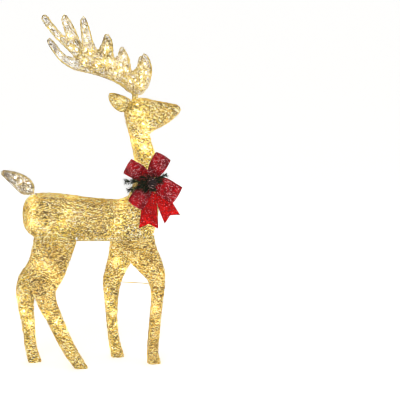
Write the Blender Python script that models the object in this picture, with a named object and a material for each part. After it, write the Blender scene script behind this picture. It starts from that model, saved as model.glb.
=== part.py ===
"""Lighted wire-frame buck, standing. Metres, +Z up, head toward +X, origin on the ground under the middle of its bounding box."""
import bpy
import bmesh
import math
from mathutils import Vector, Matrix

WIRE = 0.0036      # frame wire
GAP = 0.0034       # frame line to the inside of the thread wrap
WRAP = 0.0015      # thickness of the thread layer
BELLY = 0.569      # belly height at x = 0
SLOPE = -0.0375    # fall of the belly toward the front
XOFF = -0.0030     # puts the origin under the middle of the bounding box
YOFF = 0.0238

for o in list(bpy.data.objects):
    bpy.data.objects.remove(o, do_unlink=True)
COL = bpy.context.scene.collection


def put(name, bm):
    bmesh.ops.recalc_face_normals(bm, faces=bm.faces)
    me = bpy.data.meshes.new(name)
    bm.to_mesh(me)
    bm.free()
    o = bpy.data.objects.new(name, me)
    COL.objects.link(o)
    return o


# ---------- limb cages ----------
def oval(p, q, w, yc=0.0, n=12, power=2.6):
    """Ring whose outline runs through p (x, z) and q (x, z), half width w across Y."""
    cx, cz = (p[0] + q[0]) / 2, (p[1] + q[1]) / 2
    ux, uz = (q[0] - p[0]) / 2, (q[1] - p[1]) / 2
    out = []
    for k in range(n):
        a = 2 * math.pi * (k + 0.5) / n
        c, s = math.cos(a), math.sin(a)
        r = (abs(c) ** power + abs(s) ** power) ** (-1 / power)
        out.append(Vector((cx + ux * c * r, yc + w * s * r, cz + uz * c * r)))
    return out


def loft(rings, start=True, end=True, step=1):
    """Closed or open-ended cage through the rings; step > 1 keeps every step-th lengthwise line."""
    rings = [r[::step] for r in rings]
    bm = bmesh.new()
    vs = [[bm.verts.new(v) for v in r] for r in rings]
    n = len(rings[0])
    for a, b in zip(vs, vs[1:]):
        for j in range(n):
            k = (j + 1) % n
            bm.faces.new((a[j], a[k], b[k], b[j]))
    if start:
        bm.faces.new(vs[0][::-1])
    if end:
        bm.faces.new(vs[-1])
    bmesh.ops.recalc_face_normals(bm, faces=bm.faces)
    bm.normal_update()
    mid = sum((v.co for v in vs[1]), Vector()) / n
    if sum(v.normal.dot(v.co - mid) for v in vs[1]) < 0:
        bmesh.ops.reverse_faces(bm, faces=bm.faces)
    return bm


def plate(outline, half, place, open_edge=None):
    """Flat cage: outline points (u, v) drawn in the plane place(u, v, w) at w = +half and -half."""
    bm = bmesh.new()
    a = [bm.verts.new(place(u, v, half)) for u, v in outline]
    b = [bm.verts.new(place(u, v, -half)) for u, v in outline]
    n = len(outline)
    bm.faces.new(a)
    bm.faces.new(b[::-1])
    skip = None
    for j in range(n):
        k = (j + 1) % n
        f = bm.faces.new((a[k], a[j], b[j], b[k]))
        if open_edge is not None and j == open_edge:
            skip = f
    bmesh.ops.recalc_face_normals(bm, faces=bm.faces)
    if skip is not None:
        bm.faces.remove(skip)
    bm.normal_update()
    return bm


def shell(name, bm, gap=GAP, t=WRAP):
    """Thin closed layer standing off an open or closed cage."""
    bm.normal_update()
    bm.verts.ensure_lookup_table()
    out = bmesh.new()
    inner, outer = [], []
    for v in bm.verts:
        f = min(v.calc_shell_factor(), 1.7)
        d = v.normal.copy()
        if abs(v.co.z) < 1e-6:
            d.z = 0.0
            d.normalize()
        inner.append(out.verts.new(v.co + d * gap * f))
        outer.append(out.verts.new(v.co + d * (gap + t) * f))
    for f in bm.faces:
        ids = [v.index for v in f.verts]
        out.faces.new([outer[i] for i in ids])
        out.faces.new([inner[i] for i in reversed(ids)])
    for e in bm.edges:
        if len(e.link_faces) == 1:
            i, j = e.verts[0].index, e.verts[1].index
            out.faces.new((outer[i], outer[j], inner[j], inner[i]))
    bm.free()
    return put(name, out)


def wires(name, bm, thick=WIRE):
    """Welded wire frame along every edge of a closed cage."""
    o = put(name, bm)
    m = o.modifiers.new("wires", "WIREFRAME")
    m.thickness = thick
    m.use_even_offset = False
    m.use_relative_offset = False
    m.use_boundary = True
    m.use_replace = True
    return o


# ---------- wires, tubes and strings ----------
def sweep(name, stations, sides=6, closed=False):
    """Tube through (point, radius) stations."""
    bm = bmesh.new()
    pts = [Vector(p) for p, _ in stations]
    n = len(pts)
    tang = []
    for i in range(n):
        if closed:
            d = pts[(i + 1) % n] - pts[i - 1]
        else:
            d = pts[min(i + 1, n - 1)] - pts[max(i - 1, 0)]
        tang.append(d.normalized())
    side = tang[0].orthogonal().normalized()
    rings = []
    for i in range(n):
        side = side - tang[i] * side.dot(tang[i])
        side.normalize()
        up = tang[i].cross(side)
        r = stations[i][1]
        rings.append([bm.verts.new(pts[i] + (side * math.cos(2 * math.pi * k / sides) + up * math.sin(2 * math.pi * k / sides)) * r) for k in range(sides)])
    pairs = list(zip(rings, rings[1:]))
    if closed:
        pairs.append((rings[-1], rings[0]))
    for a, b in pairs:
        shift = 0
        if closed and a is rings[-1]:
            best = None
            for s in range(sides):
                d = sum((a[k].co - b[(k + s) % sides].co).length for k in range(sides))
                if best is None or d < best:
                    best, shift = d, s
        for k in range(sides):
            m = (k + 1) % sides
            bm.faces.new((a[k], a[m], b[(m + shift) % sides], b[(k + shift) % sides]))
    if not closed:
        bm.faces.new(rings[0][::-1])
        bm.faces.new(rings[-1])
    return put(name, bm)


def smooth(points, per=6):
    """Catmull-Rom points through the given ones."""
    p = [Vector(v) for v in points]
    p = [p[0] * 2 - p[1]] + p + [p[-1] * 2 - p[-2]]
    out = []
    for i in range(1, len(p) - 2):
        a, b, c, d = p[i - 1], p[i], p[i + 1], p[i + 2]
        for k in range(per):
            t = k / per
            out.append(0.5 * ((2 * b) + (c - a) * t + (2 * a - 5 * b + 4 * c - d) * t * t + (3 * b - a - 3 * c + d) * t ** 3))
    out.append(p[-2])
    return out


def string(name, path, every=0.085, wire=0.0010, bulb=0.0032, length=0.013, first=0.02):
    """Light string: thin cord with a lamp every so often; the lamps are swellings of the same moulded cord."""
    cum = [0.0]
    for a, b in zip(path, path[1:]):
        cum.append(cum[-1] + (b - a).length)
    total = cum[-1]

    def at(s):
        s = min(max(s, 0.0), total)
        for i in range(1, len(cum)):
            if s <= cum[i]:
                t = (s - cum[i - 1]) / max(cum[i] - cum[i - 1], 1e-9)
                return path[i - 1].lerp(path[i], t)
        return path[-1].copy()

    marks = [(c, wire) for c in cum]
    s = first
    while s + length < total - 0.004:
        marks = [m for m in marks if not (s - 0.002 <= m[0] <= s + length + 0.002)]
        for f, r in ((0.0, wire), (0.15, bulb), (0.8, bulb * 0.9), (1.0, wire)):
            marks.append((s + f * length, r))
        s += every
    marks.sort()
    keep = [marks[0]]
    for m in marks[1:]:
        if m[0] - keep[-1][0] > 0.0012:
            keep.append(m)
    return sweep(name, [(at(c), r) for c, r in keep], sides=4)


def pipe(name, a, b, outer, inner, sides=14):
    """Hollow sleeve from a to b."""
    a, b = Vector(a), Vector(b)
    ax = (b - a).normalized()
    u = ax.orthogonal().normalized()
    w = ax.cross(u)
    bm = bmesh.new()
    rows = []
    for p, r in ((a, outer), (b, outer), (b, inner), (a, inner)):
        rows.append([bm.verts.new(p + (u * math.cos(2 * math.pi * k / sides) + w * math.sin(2 * math.pi * k / sides)) * r) for k in range(sides)])
    for i in range(4):
        r0, r1 = rows[i], rows[(i + 1) % 4]
        for k in range(sides):
            m = (k + 1) % sides
            bm.faces.new((r0[k], r0[m], r1[m], r1[k]))
    return put(name, bm)


def inside(rings, turns, frac, start=0.0, end=1.0, phase=0.0, steps=None):
    """Helical path inside a limb cage, at a share of its half size."""
    n = len(rings)
    cen = [sum(r, Vector()) / len(r) for r in rings]
    steps = steps or max(int(turns * 12), 8)
    out = []
    for i in range(steps + 1):
        s = start + (end - start) * i / steps
        f = s * (n - 1)
        k = min(int(f), n - 2)
        t = f - k
        c = cen[k].lerp(cen[k + 1], t)
        m = len(rings[0])
        a = (phase + turns * s) * m
        j = int(math.floor(a)) % m
        ta = a - math.floor(a)
        p0 = rings[k][j].lerp(rings[k][(j + 1) % m], ta)
        p1 = rings[k + 1][j].lerp(rings[k + 1][(j + 1) % m], ta)
        out.append(c.lerp(p0.lerp(p1, t), frac))
    return out


# ---------- torso ----------
def belly(x):
    return BELLY + SLOPE * x


TORSO = [((-0.287, 0.634), (-0.287, 0.660), 0.058), ((-0.281, 0.606), (-0.281, 0.690), 0.080),
         ((-0.268, 0.587), (-0.268, 0.716), 0.091), ((-0.245, belly(-0.245)), (-0.245, 0.734), 0.096),
         ((-0.200, belly(-0.200)), (-0.205, 0.741), 0.098), ((-0.150, belly(-0.150)), (-0.155, 0.739), 0.098),
         ((-0.080, belly(-0.080)), (-0.083, 0.728), 0.098), ((0.000, belly(0.0)), (-0.006, 0.7135), 0.098),
         ((0.080, belly(0.080)), (0.066, 0.7035), 0.098), ((0.160, belly(0.160)), (0.125, 0.6995), 0.097),
         ((0.218, belly(0.218)), (0.158, 0.705), 0.096), ((0.250, 0.5665), (0.178, 0.717), 0.092),
         ((0.263, 0.603), (0.189, 0.735), 0.086), ((0.276, 0.652), (0.196, 0.760), 0.078),
         ((0.284, 0.727), (0.199, 0.797), 0.068)]
torso = [oval(p, q, w, n=20, power=5.5) for p, q, w in TORSO]
shell("torso_wrap", loft(torso, end=False))
wires("torso_frame", loft(torso[:-1], step=2))
string("torso_light_string", inside(torso, 4.4, 0.76, 0.12, 0.93, 0.1, 56), every=0.085)


# ---------- neck and head ----------
NECK = [((0.285, 0.735), (0.200, 0.8055), 0.064), ((0.2855, 0.790), (0.200, 0.852), 0.056),
        ((0.281, 0.855), (0.194, 0.900), 0.048), ((0.270, 0.918), (0.184, 0.950), 0.043),
        ((0.2565, 0.957), (0.173, 0.994), 0.042), ((0.2475, 0.988), (0.161, 1.038), 0.042)]
neck = [oval(p, q, w, n=12, power=3.6) for p, q, w in NECK]
shell("neck_wrap", loft(neck, start=False, end=False))
wires("neck_frame", loft(neck, step=2))

HEAD = [((0.249, 0.995), (0.1575, 1.0475), 0.042), ((0.258, 1.004), (0.153, 1.088), 0.044),
        ((0.273, 1.013), (0.163, 1.121), 0.045), ((0.292, 1.021), (0.193, 1.139), 0.045),
        ((0.312, 1.031), (0.236, 1.143), 0.043), ((0.335, 1.045), (0.290, 1.129), 0.038),
        ((0.359, 1.061), (0.344, 1.117), 0.032), ((0.379, 1.079), (0.377, 1.109), 0.025),
        ((0.3885, 1.089), (0.3885, 1.101), 0.013)]
head = [oval(p, q, w, n=12, power=3.0) for p, q, w in HEAD]
shell("head_wrap", loft(head, start=False))
wires("head_frame", loft(head[:-1], step=2))
string("neck_light_string", smooth([Vector((0.235, 0.0, 0.785))] + inside(neck, 2.0, 0.60, 0.08, 0.98, 0.2, 18) + inside(head, 1.4, 0.50, 0.08, 0.86, 0.4, 11), 1), every=0.070)


# ---------- antlers: flat wire shapes leaning outward ----------
LEAN = math.radians(12)


def antler_place(side):
    def place(u, v, w):
        h = v - 1.16
        return Vector((u, side * (0.030 + h * math.sin(LEAN)) + w * math.cos(LEAN), 1.16 + h * math.cos(LEAN) - side * w * math.sin(LEAN)))
    return place


ANTLER_R = [(0.214, 1.170), (0.178, 1.170), (0.137, 1.206), (0.071, 1.243), (-0.007, 1.270), (-0.080, 1.286), (-0.116, 1.309),
            (-0.143, 1.330), (-0.175, 1.376), (-0.194, 1.408), (-0.186, 1.420), (-0.169, 1.406), (-0.126, 1.347), (-0.086, 1.331),
            (-0.060, 1.345), (-0.046, 1.402), (-0.057, 1.496), (-0.044, 1.512), (-0.027, 1.477), (0.000, 1.388), (0.016, 1.365),
            (0.032, 1.367), (0.050, 1.430), (0.062, 1.434), (0.079, 1.397), (0.082, 1.338), (0.094, 1.321), (0.111, 1.340),
            (0.117, 1.372), (0.128, 1.376), (0.149, 1.338), (0.157, 1.270), (0.167, 1.262), (0.195, 1.282), (0.213, 1.321),
            (0.219, 1.346), (0.235, 1.332), (0.251, 1.292), (0.252, 1.257), (0.241, 1.206)]
ANTLER_L = [(0.214, 1.170), (0.178, 1.170), (0.140, 1.206), (0.078, 1.243), (0.005, 1.272), (-0.043, 1.320), (-0.084, 1.366),
            (-0.131, 1.414), (-0.160, 1.452), (-0.187, 1.494), (-0.177, 1.509), (-0.161, 1.497), (-0.134, 1.455), (-0.098, 1.415),
            (-0.082, 1.420), (-0.101, 1.490), (-0.091, 1.508), (-0.074, 1.492), (-0.050, 1.447), (-0.030, 1.390), (0.004, 1.352),
            (0.050, 1.345), (0.078, 1.400), (0.090, 1.402), (0.106, 1.375), (0.112, 1.322), (0.128, 1.302), (0.146, 1.314),
            (0.153, 1.344), (0.165, 1.346), (0.182, 1.312), (0.185, 1.262), (0.196, 1.256), (0.214, 1.270), (0.225, 1.302),
            (0.232, 1.324), (0.246, 1.312), (0.256, 1.280), (0.255, 1.252), (0.241, 1.206)]
# cord route: up every branch and back again
RUN_R = [(0.206, 1.190), (0.222, 1.225), (0.233, 1.285), (0.226, 1.312), (0.221, 1.280), (0.200, 1.228), (0.165, 1.225),
         (0.138, 1.290), (0.128, 1.345), (0.120, 1.338), (0.120, 1.285), (0.112, 1.258), (0.080, 1.290), (0.066, 1.360), (0.060, 1.405),
         (0.050, 1.365), (0.050, 1.315), (0.030, 1.285), (0.000, 1.325), (-0.028, 1.400), (-0.042, 1.480),
         (-0.036, 1.405), (-0.030, 1.335), (-0.052, 1.303), (-0.100, 1.325), (-0.140, 1.352), (-0.178, 1.402)]
RUN_L = [(0.206, 1.190), (0.224, 1.225), (0.240, 1.275), (0.232, 1.298), (0.227, 1.265), (0.205, 1.222), (0.185, 1.232),
         (0.170, 1.280), (0.160, 1.322), (0.153, 1.290), (0.145, 1.262), (0.118, 1.272), (0.100, 1.330), (0.088, 1.378),
         (0.078, 1.345), (0.060, 1.300), (0.010, 1.302), (-0.040, 1.350), (-0.066, 1.420), (-0.088, 1.475), (-0.072, 1.400), (-0.068, 1.368),
         (-0.105, 1.396), (-0.150, 1.450), (-0.174, 1.492)]
for tag, side, outline, run in (("right", -1, ANTLER_R, RUN_R), ("left", 1, ANTLER_L, RUN_L)):
    place = antler_place(side)
    shell(f"antler_{tag}_wrap", plate(outline, 0.0085, place, open_edge=0), gap=0.0026, t=0.0013)
    wires(f"antler_{tag}_frame", plate(outline, 0.0085, place), thick=0.0028)
    string(f"antler_{tag}_light_string", smooth([place(u, v, 0.0) for u, v in run], 2), every=0.078, bulb=0.0030, first=0.012)
    x = 0.193
    pipe(f"antler_socket_{tag}", place(x, 1.155, 0), place(x, 1.183, 0), 0.0050, 0.0030, 12)
    sweep(f"antler_{tag}_peg", [(place(x, 1.158, 0), 0.0020), (place(x, 1.1595, 0), 0.0026), (place(x, 1.183, 0), 0.0026), (place(x, 1.196, 0), 0.0026)], 10)


# ---------- ears ----------
EAR = [(0.151, 1.124), (0.166, 1.146), (0.151, 1.151), (0.121, 1.160), (0.095, 1.166), (0.081, 1.166), (0.077, 1.156), (0.079, 1.140),
       (0.089, 1.124), (0.107, 1.107), (0.129, 1.095), (0.142, 1.098)]
for tag, side in (("right", -1), ("left", 1)):
    def ear_place(u, v, w, side=side):
        u = 0.166 - (0.166 - u) * (0.86 if side > 0 else 1.0)
        return Vector((u, side * (0.027 + (0.166 - u) * 0.10) + w, v))
    shell(f"ear_{tag}_wrap", plate(EAR, 0.0055, ear_place, open_edge=11), gap=0.0026, t=0.0013)
    wires(f"ear_{tag}_frame", plate(EAR, 0.0055, ear_place), thick=0.0028)


# ---------- plug-in joint between neck and torso ----------
pipe("neck_socket", (0.228, 0, 0.680), (0.228, 0, 0.745), 0.0105, 0.0080, 16)
sweep("neck_plug", [((0.228, 0, 0.684), 0.0050), ((0.228, 0, 0.690), 0.0072), ((0.228, 0, 0.750), 0.0072), ((0.228, 0, 0.7635), 0.0072)], 14)


# ---------- legs ----------
def rod_z(x):
    return belly(x) - GAP - WRAP - 0.0062


def leg_top(x):
    return rod_z(x) - 0.0036 - 0.0022 - GAP - WRAP


LEGS = {
    "rear_right": (-1, [(-0.262, -0.088, None, 0.028), (-0.270, -0.100, 0.515, 0.028), (-0.281, -0.121, 0.455, 0.027), (-0.281, -0.146, 0.398, 0.025),
                        (-0.268, -0.178, 0.340, 0.023), (-0.252, -0.175, 0.296, 0.022), (-0.230, -0.158, 0.248, 0.021), (-0.197, -0.135, 0.186, 0.020),
                        (-0.164, -0.107, 0.118, 0.020), (-0.131, -0.075, 0.056, 0.020), (-0.106, -0.054, 0.020, 0.022), (-0.096, -0.043, 0.0, 0.023)]),
    "rear_left": (1, [(-0.232, -0.078, None, 0.028), (-0.243, -0.098, 0.500, 0.027), (-0.262, -0.140, 0.440, 0.026), (-0.296, -0.186, 0.392, 0.024),
                      (-0.311, -0.221, 0.350, 0.022), (-0.314, -0.242, 0.306, 0.021), (-0.306, -0.247, 0.245, 0.020), (-0.293, -0.245, 0.170, 0.020),
                      (-0.283, -0.240, 0.095, 0.020), (-0.276, -0.232, 0.045, 0.021), (-0.270, -0.221, 0.012, 0.023), (-0.268, -0.219, 0.0, 0.023)]),
    "front_left": (1, [(0.103, 0.208, None, 0.028), (0.098, 0.200, 0.480, 0.027), (0.087, 0.182, 0.424, 0.025), (0.074, 0.158, 0.378, 0.023),
                       (0.068, 0.137, 0.330, 0.021), (0.074, 0.126, 0.270, 0.020), (0.080, 0.121, 0.195, 0.019), (0.085, 0.124, 0.125, 0.019),
                       (0.091, 0.130, 0.072, 0.020), (0.099, 0.144, 0.022, 0.022), (0.101, 0.148, 0.0, 0.023)]),
    "front_right": (-1, [(0.110, 0.254, None, 0.028), (0.128, 0.266, 0.500, 0.028), (0.159, 0.287, 0.448, 0.026), (0.192, 0.296, 0.412, 0.024),
                         (0.225, 0.299, 0.378, 0.023), (0.241, 0.297, 0.345, 0.022), (0.248, 0.291, 0.300, 0.021), (0.244, 0.283, 0.235, 0.020),
                         (0.237, 0.275, 0.165, 0.019), (0.231, 0.269, 0.095, 0.020), (0.229, 0.268, 0.045, 0.022), (0.230, 0.275, 0.018, 0.023), (0.231, 0.278, 0.0, 0.023)]),
}
OUT = 0.101
rings_of = {}
for tag, (side, rows) in LEGS.items():
    rings = []
    for i, (x0, x1, z, w) in enumerate(rows):
        z0 = leg_top(x0) if z is None else z
        z1 = leg_top(x1) if z is None else z
        rings.append(oval((x0, z0), (x1, z1), w, yc=side * (OUT - w), n=12, power=3.8))
    rings_of[tag] = rings
    lifted = [[Vector((v.x, v.y, max(v.z, 0.0))) for v in r] for r in rings]
    shell(f"leg_{tag}_wrap", loft(lifted, end=False))
    short = rings[:-1] + [[Vector((v.x, v.y, 0.0035)) for v in rings[-1]]]
    wires(f"leg_{tag}_frame", loft(short, step=3))
    string(f"leg_{tag}_light_string", inside(rings, 2.6, 0.52, 0.06, 0.90, 0.15, 26), every=0.075)
    xa, xb = rows[0][0] + 0.022, rows[0][1] - 0.022
    y = side * (OUT + GAP + WRAP)
    pipe(f"leg_{tag}_hinge_sleeve", (xa, y, rod_z(xa)), (xb, y, rod_z(xb)), 0.0036, 0.0024, 12)

for tag, side in (("right", -1), ("left", 1)):
    y = side * (OUT + GAP + WRAP)
    inb = side * 0.078
    x0, x1 = -0.258, 0.240
    pts = [(x0 + 0.004, inb, rod_z(x0) + 0.002), (x0, side * 0.090, rod_z(x0)), (x0, y - side * 0.004, rod_z(x0)), (x0 + 0.004, y, rod_z(x0 + 0.004)),
           (x1 - 0.004, y, rod_z(x1 - 0.004)), (x1, y - side * 0.004, rod_z(x1)), (x1, side * 0.090, rod_z(x1)), (x1 - 0.004, inb, rod_z(x1) + 0.002)]
    sweep(f"hinge_rod_{tag}", [(p, 0.0020) for p in pts], 10)


# ---------- cross brace between the front legs ----------
PIV = Vector((0.255, -0.0432, 0.349))
END = Vector((0.130, 0.0500, 0.340))
flat = Vector((END.x - PIV.x, END.y - PIV.y, 0)).normalized()
axis = Vector((-flat.y, flat.x, 0))
if axis.x < 0:
    axis = -axis
eye = []
for k in range(17):
    a = math.radians(-70 + k * 20)
    eye.append(PIV + flat * (-0.0040 * math.cos(a)) + Vector((0, 0, 0.0040 * math.sin(a))) + axis * (0.0022 * (k / 16 - 0.5) * 2))
eye = eye[::-1]
last = eye[-1]
path = eye + [last + flat * 0.008 + Vector((0, 0, -0.0025)), last.lerp(END, 0.30), last.lerp(END, 0.62), END + Vector((0, 0, 0.0))]
sweep("front_brace", [(p, 0.0014) for p in path], 6)
sweep("brace_pin", [(PIV - axis * 0.0075, 0.0019), (PIV, 0.0019), (PIV + axis * 0.0075, 0.0019)], 10)


# ---------- tail ----------
TAIL = [(-0.2535, 0.7570), (-0.2520, 0.784), (-0.261, 0.808), (-0.280, 0.824), (-0.308, 0.838), (-0.339, 0.847), (-0.366, 0.852), (-0.381, 0.848),
        (-0.379, 0.839), (-0.360, 0.820), (-0.336, 0.796), (-0.310, 0.767), (-0.295, 0.7560)]


def tail_place(u, v, w):
    return Vector((u, w, v))


shell("tail_wrap", plate(TAIL, 0.020, tail_place, open_edge=12))
wires("tail_frame", plate(TAIL, 0.020, tail_place), thick=0.0032)
string("tail_light_string", smooth([(-0.265, 0.010, 0.772), (-0.284, -0.010, 0.778), (-0.272, 0.008, 0.798), (-0.300, -0.010, 0.800), (-0.305, 0.008, 0.822), (-0.335, -0.006, 0.826), (-0.362, 0.0, 0.841)], 2), every=0.05, first=0.008)
HX, HZ = -0.2395, 0.7505
pipe("tail_hinge_sleeve", (HX, -0.017, HZ), (HX, 0.017, HZ), 0.0030, 0.0019, 12)
sweep("tail_hinge_rod", [((HX, side * y, HZ - dz), 0.0013) for side, y, dz in ((-1, 0.0240, 0.0055), (-1, 0.0237, 0.0012), (-1, 0.0210, 0.0), (1, 0.0210, 0.0), (1, 0.0237, 0.0012), (1, 0.0240, 0.0055))], 8)


# ---------- bow ----------
KNOT = Vector((0.236, -0.100, 0.812))


def ribbon_loop(name, d, length, width, bulge, t=0.0012, first=0.021, flare=1.0):
    """Loop of ribbon: out along d and back, broad side facing -Y."""
    d = Vector(d).normalized()
    w = d.cross(Vector((0, 1, 0))).normalized()
    nrm = w.cross(d).normalized()
    prof = []
    steps = 14
    for k in range(steps + 1):
        a = -math.pi + 2 * math.pi * (k + 0.5) / (steps + 1)
        s = (1 + math.cos(a)) / 2
        prof.append((first + length * s, bulge * math.sin(a) * (0.35 + 0.65 * s)))
    bm = bmesh.new()
    rows = []
    for i, (s, h) in enumerate(prof):
        a, b = prof[max(i - 1, 0)], prof[min(i + 1, len(prof) - 1)]
        tx, ty = b[0] - a[0], b[1] - a[1]
        L = math.hypot(tx, ty)
        nx, ny = -ty / L, tx / L
        half = width / 2 * (0.52 + 0.48 * min(1.0, (s - first) / (0.45 * length))) * (1 + (flare - 1) * (s - first) / length)
        row = []
        for m, e in ((1, 1), (-1, 1), (-1, -1), (1, -1)):
            row.append(bm.verts.new(KNOT + d * (s + nx * t / 2 * m) + nrm * (h + ny * t / 2 * m) + w * (half * e)))
        rows.append(row)
    for r0, r1 in zip(rows, rows[1:]):
        for k in range(4):
            m = (k + 1) % 4
            bm.faces.new((r0[k], r0[m], r1[m], r1[k]))
    bm.faces.new(rows[0])
    bm.faces.new(rows[-1][::-1])
    return put(name, bm)


def ribbon_tail(name, pts, widths, notch, t=0.0012):
    """Hanging ribbon end with a V cut: centre line points, half widths, and cut depth."""
    p = [Vector(v) for v in pts]
    bm = bmesh.new()
    front, back = [], []
    n = len(p)
    for i in range(n):
        d = (p[min(i + 1, n - 1)] - p[max(i - 1, 0)]).normalized()
        w = d.cross(Vector((0, 1, 0))).normalized()
        nn = w.cross(d).normalized() * (t / 2)
        cut = -d * notch if i == n - 1 else Vector()
        row = [p[i] - w * widths[i], p[i] + cut, p[i] + w * widths[i]]
        front.append([bm.verts.new(v + nn) for v in row])
        back.append([bm.verts.new(v - nn) for v in row])
    for i in range(n - 1):
        for k in range(2):
            bm.faces.new((front[i][k], front[i][k + 1], front[i + 1][k + 1], front[i + 1][k]))
            bm.faces.new((back[i][k + 1], back[i][k], back[i + 1][k], back[i + 1][k + 1]))
        for k in (0, 2):
            bm.faces.new((front[i][k], front[i + 1][k], back[i + 1][k], back[i][k]))
    for i in (0, n - 1):
        for k in range(2):
            bm.faces.new((front[i][k], front[i][k + 1], back[i][k + 1], back[i][k]))
    return put(name, bm)


ribbon_loop("bow_loop_upper_left", (-0.86, 0.03, 0.51), 0.100, 0.067, 0.013)
ribbon_loop("bow_loop_upper_right", (0.52, 0.03, 0.855), 0.098, 0.069, 0.013)
ribbon_loop("bow_loop_lower_left", (-0.53, -0.32, -0.78), 0.112, 0.066, 0.013)
ribbon_loop("bow_loop_lower_right", (0.82, -0.22, -0.53), 0.120, 0.080, 0.013)
ribbon_tail("bow_tail_left", [(0.224, -0.1055, 0.752), (0.229, -0.1065, 0.725), (0.229, -0.1070, 0.680), (0.225, -0.1075, 0.600)], [0.026, 0.030, 0.034, 0.041], 0.020)
ribbon_tail("bow_tail_right", [(0.276, -0.1035, 0.752), (0.287, -0.1050, 0.725), (0.303, -0.1060, 0.690), (0.330, -0.1070, 0.636)], [0.020, 0.027, 0.032, 0.037], 0.020)

bm = bmesh.new()
rows = []
for i, (y, r) in enumerate(((-0.0698, 0.005), (-0.0790, 0.006), (-0.0860, 0.0180), (-0.1030, 0.0230), (-0.1135, 0.0215), (-0.1165, 0.012))):
    rows.append([bm.verts.new((KNOT.x + r * 0.75 * math.cos(2 * math.pi * k / 12), y, KNOT.z + r * 0.75 * math.sin(2 * math.pi * k / 12))) for k in range(12)])
for a, b in zip(rows, rows[1:]):
    for k in range(12):
        bm.faces.new((a[k], a[(k + 1) % 12], b[(k + 1) % 12], b[k]))
bm.faces.new(rows[0])
bm.faces.new(rows[-1][::-1])
put("bow_knot", bm)

loop = []
ring = oval((0.2855, 0.782), (0.200, 0.8375), 0.0590, n=20, power=3.6)
cen = sum(ring, Vector()) / len(ring)
for v in ring:
    d = v - cen
    loop.append((cen + d * (1 + 0.0085 / d.length), 0.0011))
sweep("bow_tie_wire", loop, 5, closed=True)

# pinecone: rows of blunt scales around a short axis, standing off the knot
PC = Vector((0.2335, -0.1465, 0.7995))
bm = bmesh.new()
rows = []
prof = [(0.0, 0.004), (0.05, 0.010), (0.18, 0.014), (0.20, 0.018), (0.36, 0.0165), (0.38, 0.0205), (0.55, 0.017), (0.57, 0.0200), (0.73, 0.0145), (0.75, 0.0165), (0.90, 0.009), (0.92, 0.0105), (1.0, 0.004)]
for i, (s, r) in enumerate(prof):
    wob = 0.10 if i % 2 else 0.0
    rows.append([bm.verts.new(PC + Vector((r * (1 + wob * math.cos(3 * (2 * math.pi * k / 12) + i)) * math.cos(2 * math.pi * k / 12), r * (1 + wob * math.cos(3 * (2 * math.pi * k / 12) + i)) * 0.78 * math.sin(2 * math.pi * k / 12), 0.022 - 0.046 * s))) for k in range(12)])
for a, b in zip(rows, rows[1:]):
    for k in range(12):
        bm.faces.new((a[k], a[(k + 1) % 12], b[(k + 1) % 12], b[k]))
bm.faces.new(rows[0])
bm.faces.new(rows[-1][::-1])
put("pinecone", bm)


def sprig(name, base, tip, spread, count, y):
    """Flat spray of needles as one toothed outline."""
    base, tip = Vector(base), Vector(tip)
    d = tip - base
    n = Vector((-d.y, d.x)).normalized()
    up, down = [], []
    for k in range(count):
        f = k / count
        s = spread * (1 - 0.65 * f)
        up += [base + d * f + n * 0.003, base + d * min(f + 0.42 / count + 0.16, 1.02) + n * s]
        down += [base + d * f - n * 0.003, base + d * min(f + 0.42 / count + 0.16, 1.02) - n * s]
    outline = up + [tip] + down[::-1]
    bm = plate([(v.x, v.y) for v in outline], 0.0022, lambda u, v, w: Vector((u, y + w, v)))
    return put(name, bm)


sprig("pine_sprig_left", (0.205, 0.802), (0.101, 0.790), 0.030, 6, -0.1480)
sprig("pine_sprig_right", (0.258, 0.814), (0.304, 0.836), 0.020, 5, -0.1420)

# ---------- looks ----------
LOOKS = {
    "frame": ((0.80, 0.45, 0.10), 0.35, 0.9), "thread": ((0.86, 0.60, 0.22), 0.42, 0.55), "tip_thread": ((0.62, 0.50, 0.36), 0.45, 0.55),
    "cord": ((0.88, 0.80, 0.55), 0.40, 0.0), "ribbon": ((0.62, 0.02, 0.05), 0.45, 0.25), "needles": ((0.03, 0.16, 0.06), 0.6, 0.0),
    "cone": ((0.16, 0.09, 0.05), 0.75, 0.0), "steel": ((0.62, 0.58, 0.50), 0.38, 0.95),
}


def look(key):
    m = bpy.data.materials.get(key)
    if m is None:
        m = bpy.data.materials.new(key)
        m.use_nodes = True
        b = m.node_tree.nodes["Principled BSDF"]
        c, rough, metal = LOOKS[key]
        b.inputs["Base Color"].default_value = (*c, 1.0)
        b.inputs["Roughness"].default_value = rough
        b.inputs["Metallic"].default_value = metal
    return m


def kind(name):
    if name.startswith(("bow_loop", "bow_tail", "bow_knot")):
        return "ribbon"
    if name.startswith("pine_sprig"):
        return "needles"
    if name == "pinecone":
        return "cone"
    if name.endswith("light_string"):
        return "cord"
    if name.endswith("_frame"):
        return "frame"
    if name.endswith("_wrap"):
        return "tip_thread" if name.startswith(("tail", "antler")) else "thread"
    return "steel"


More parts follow.
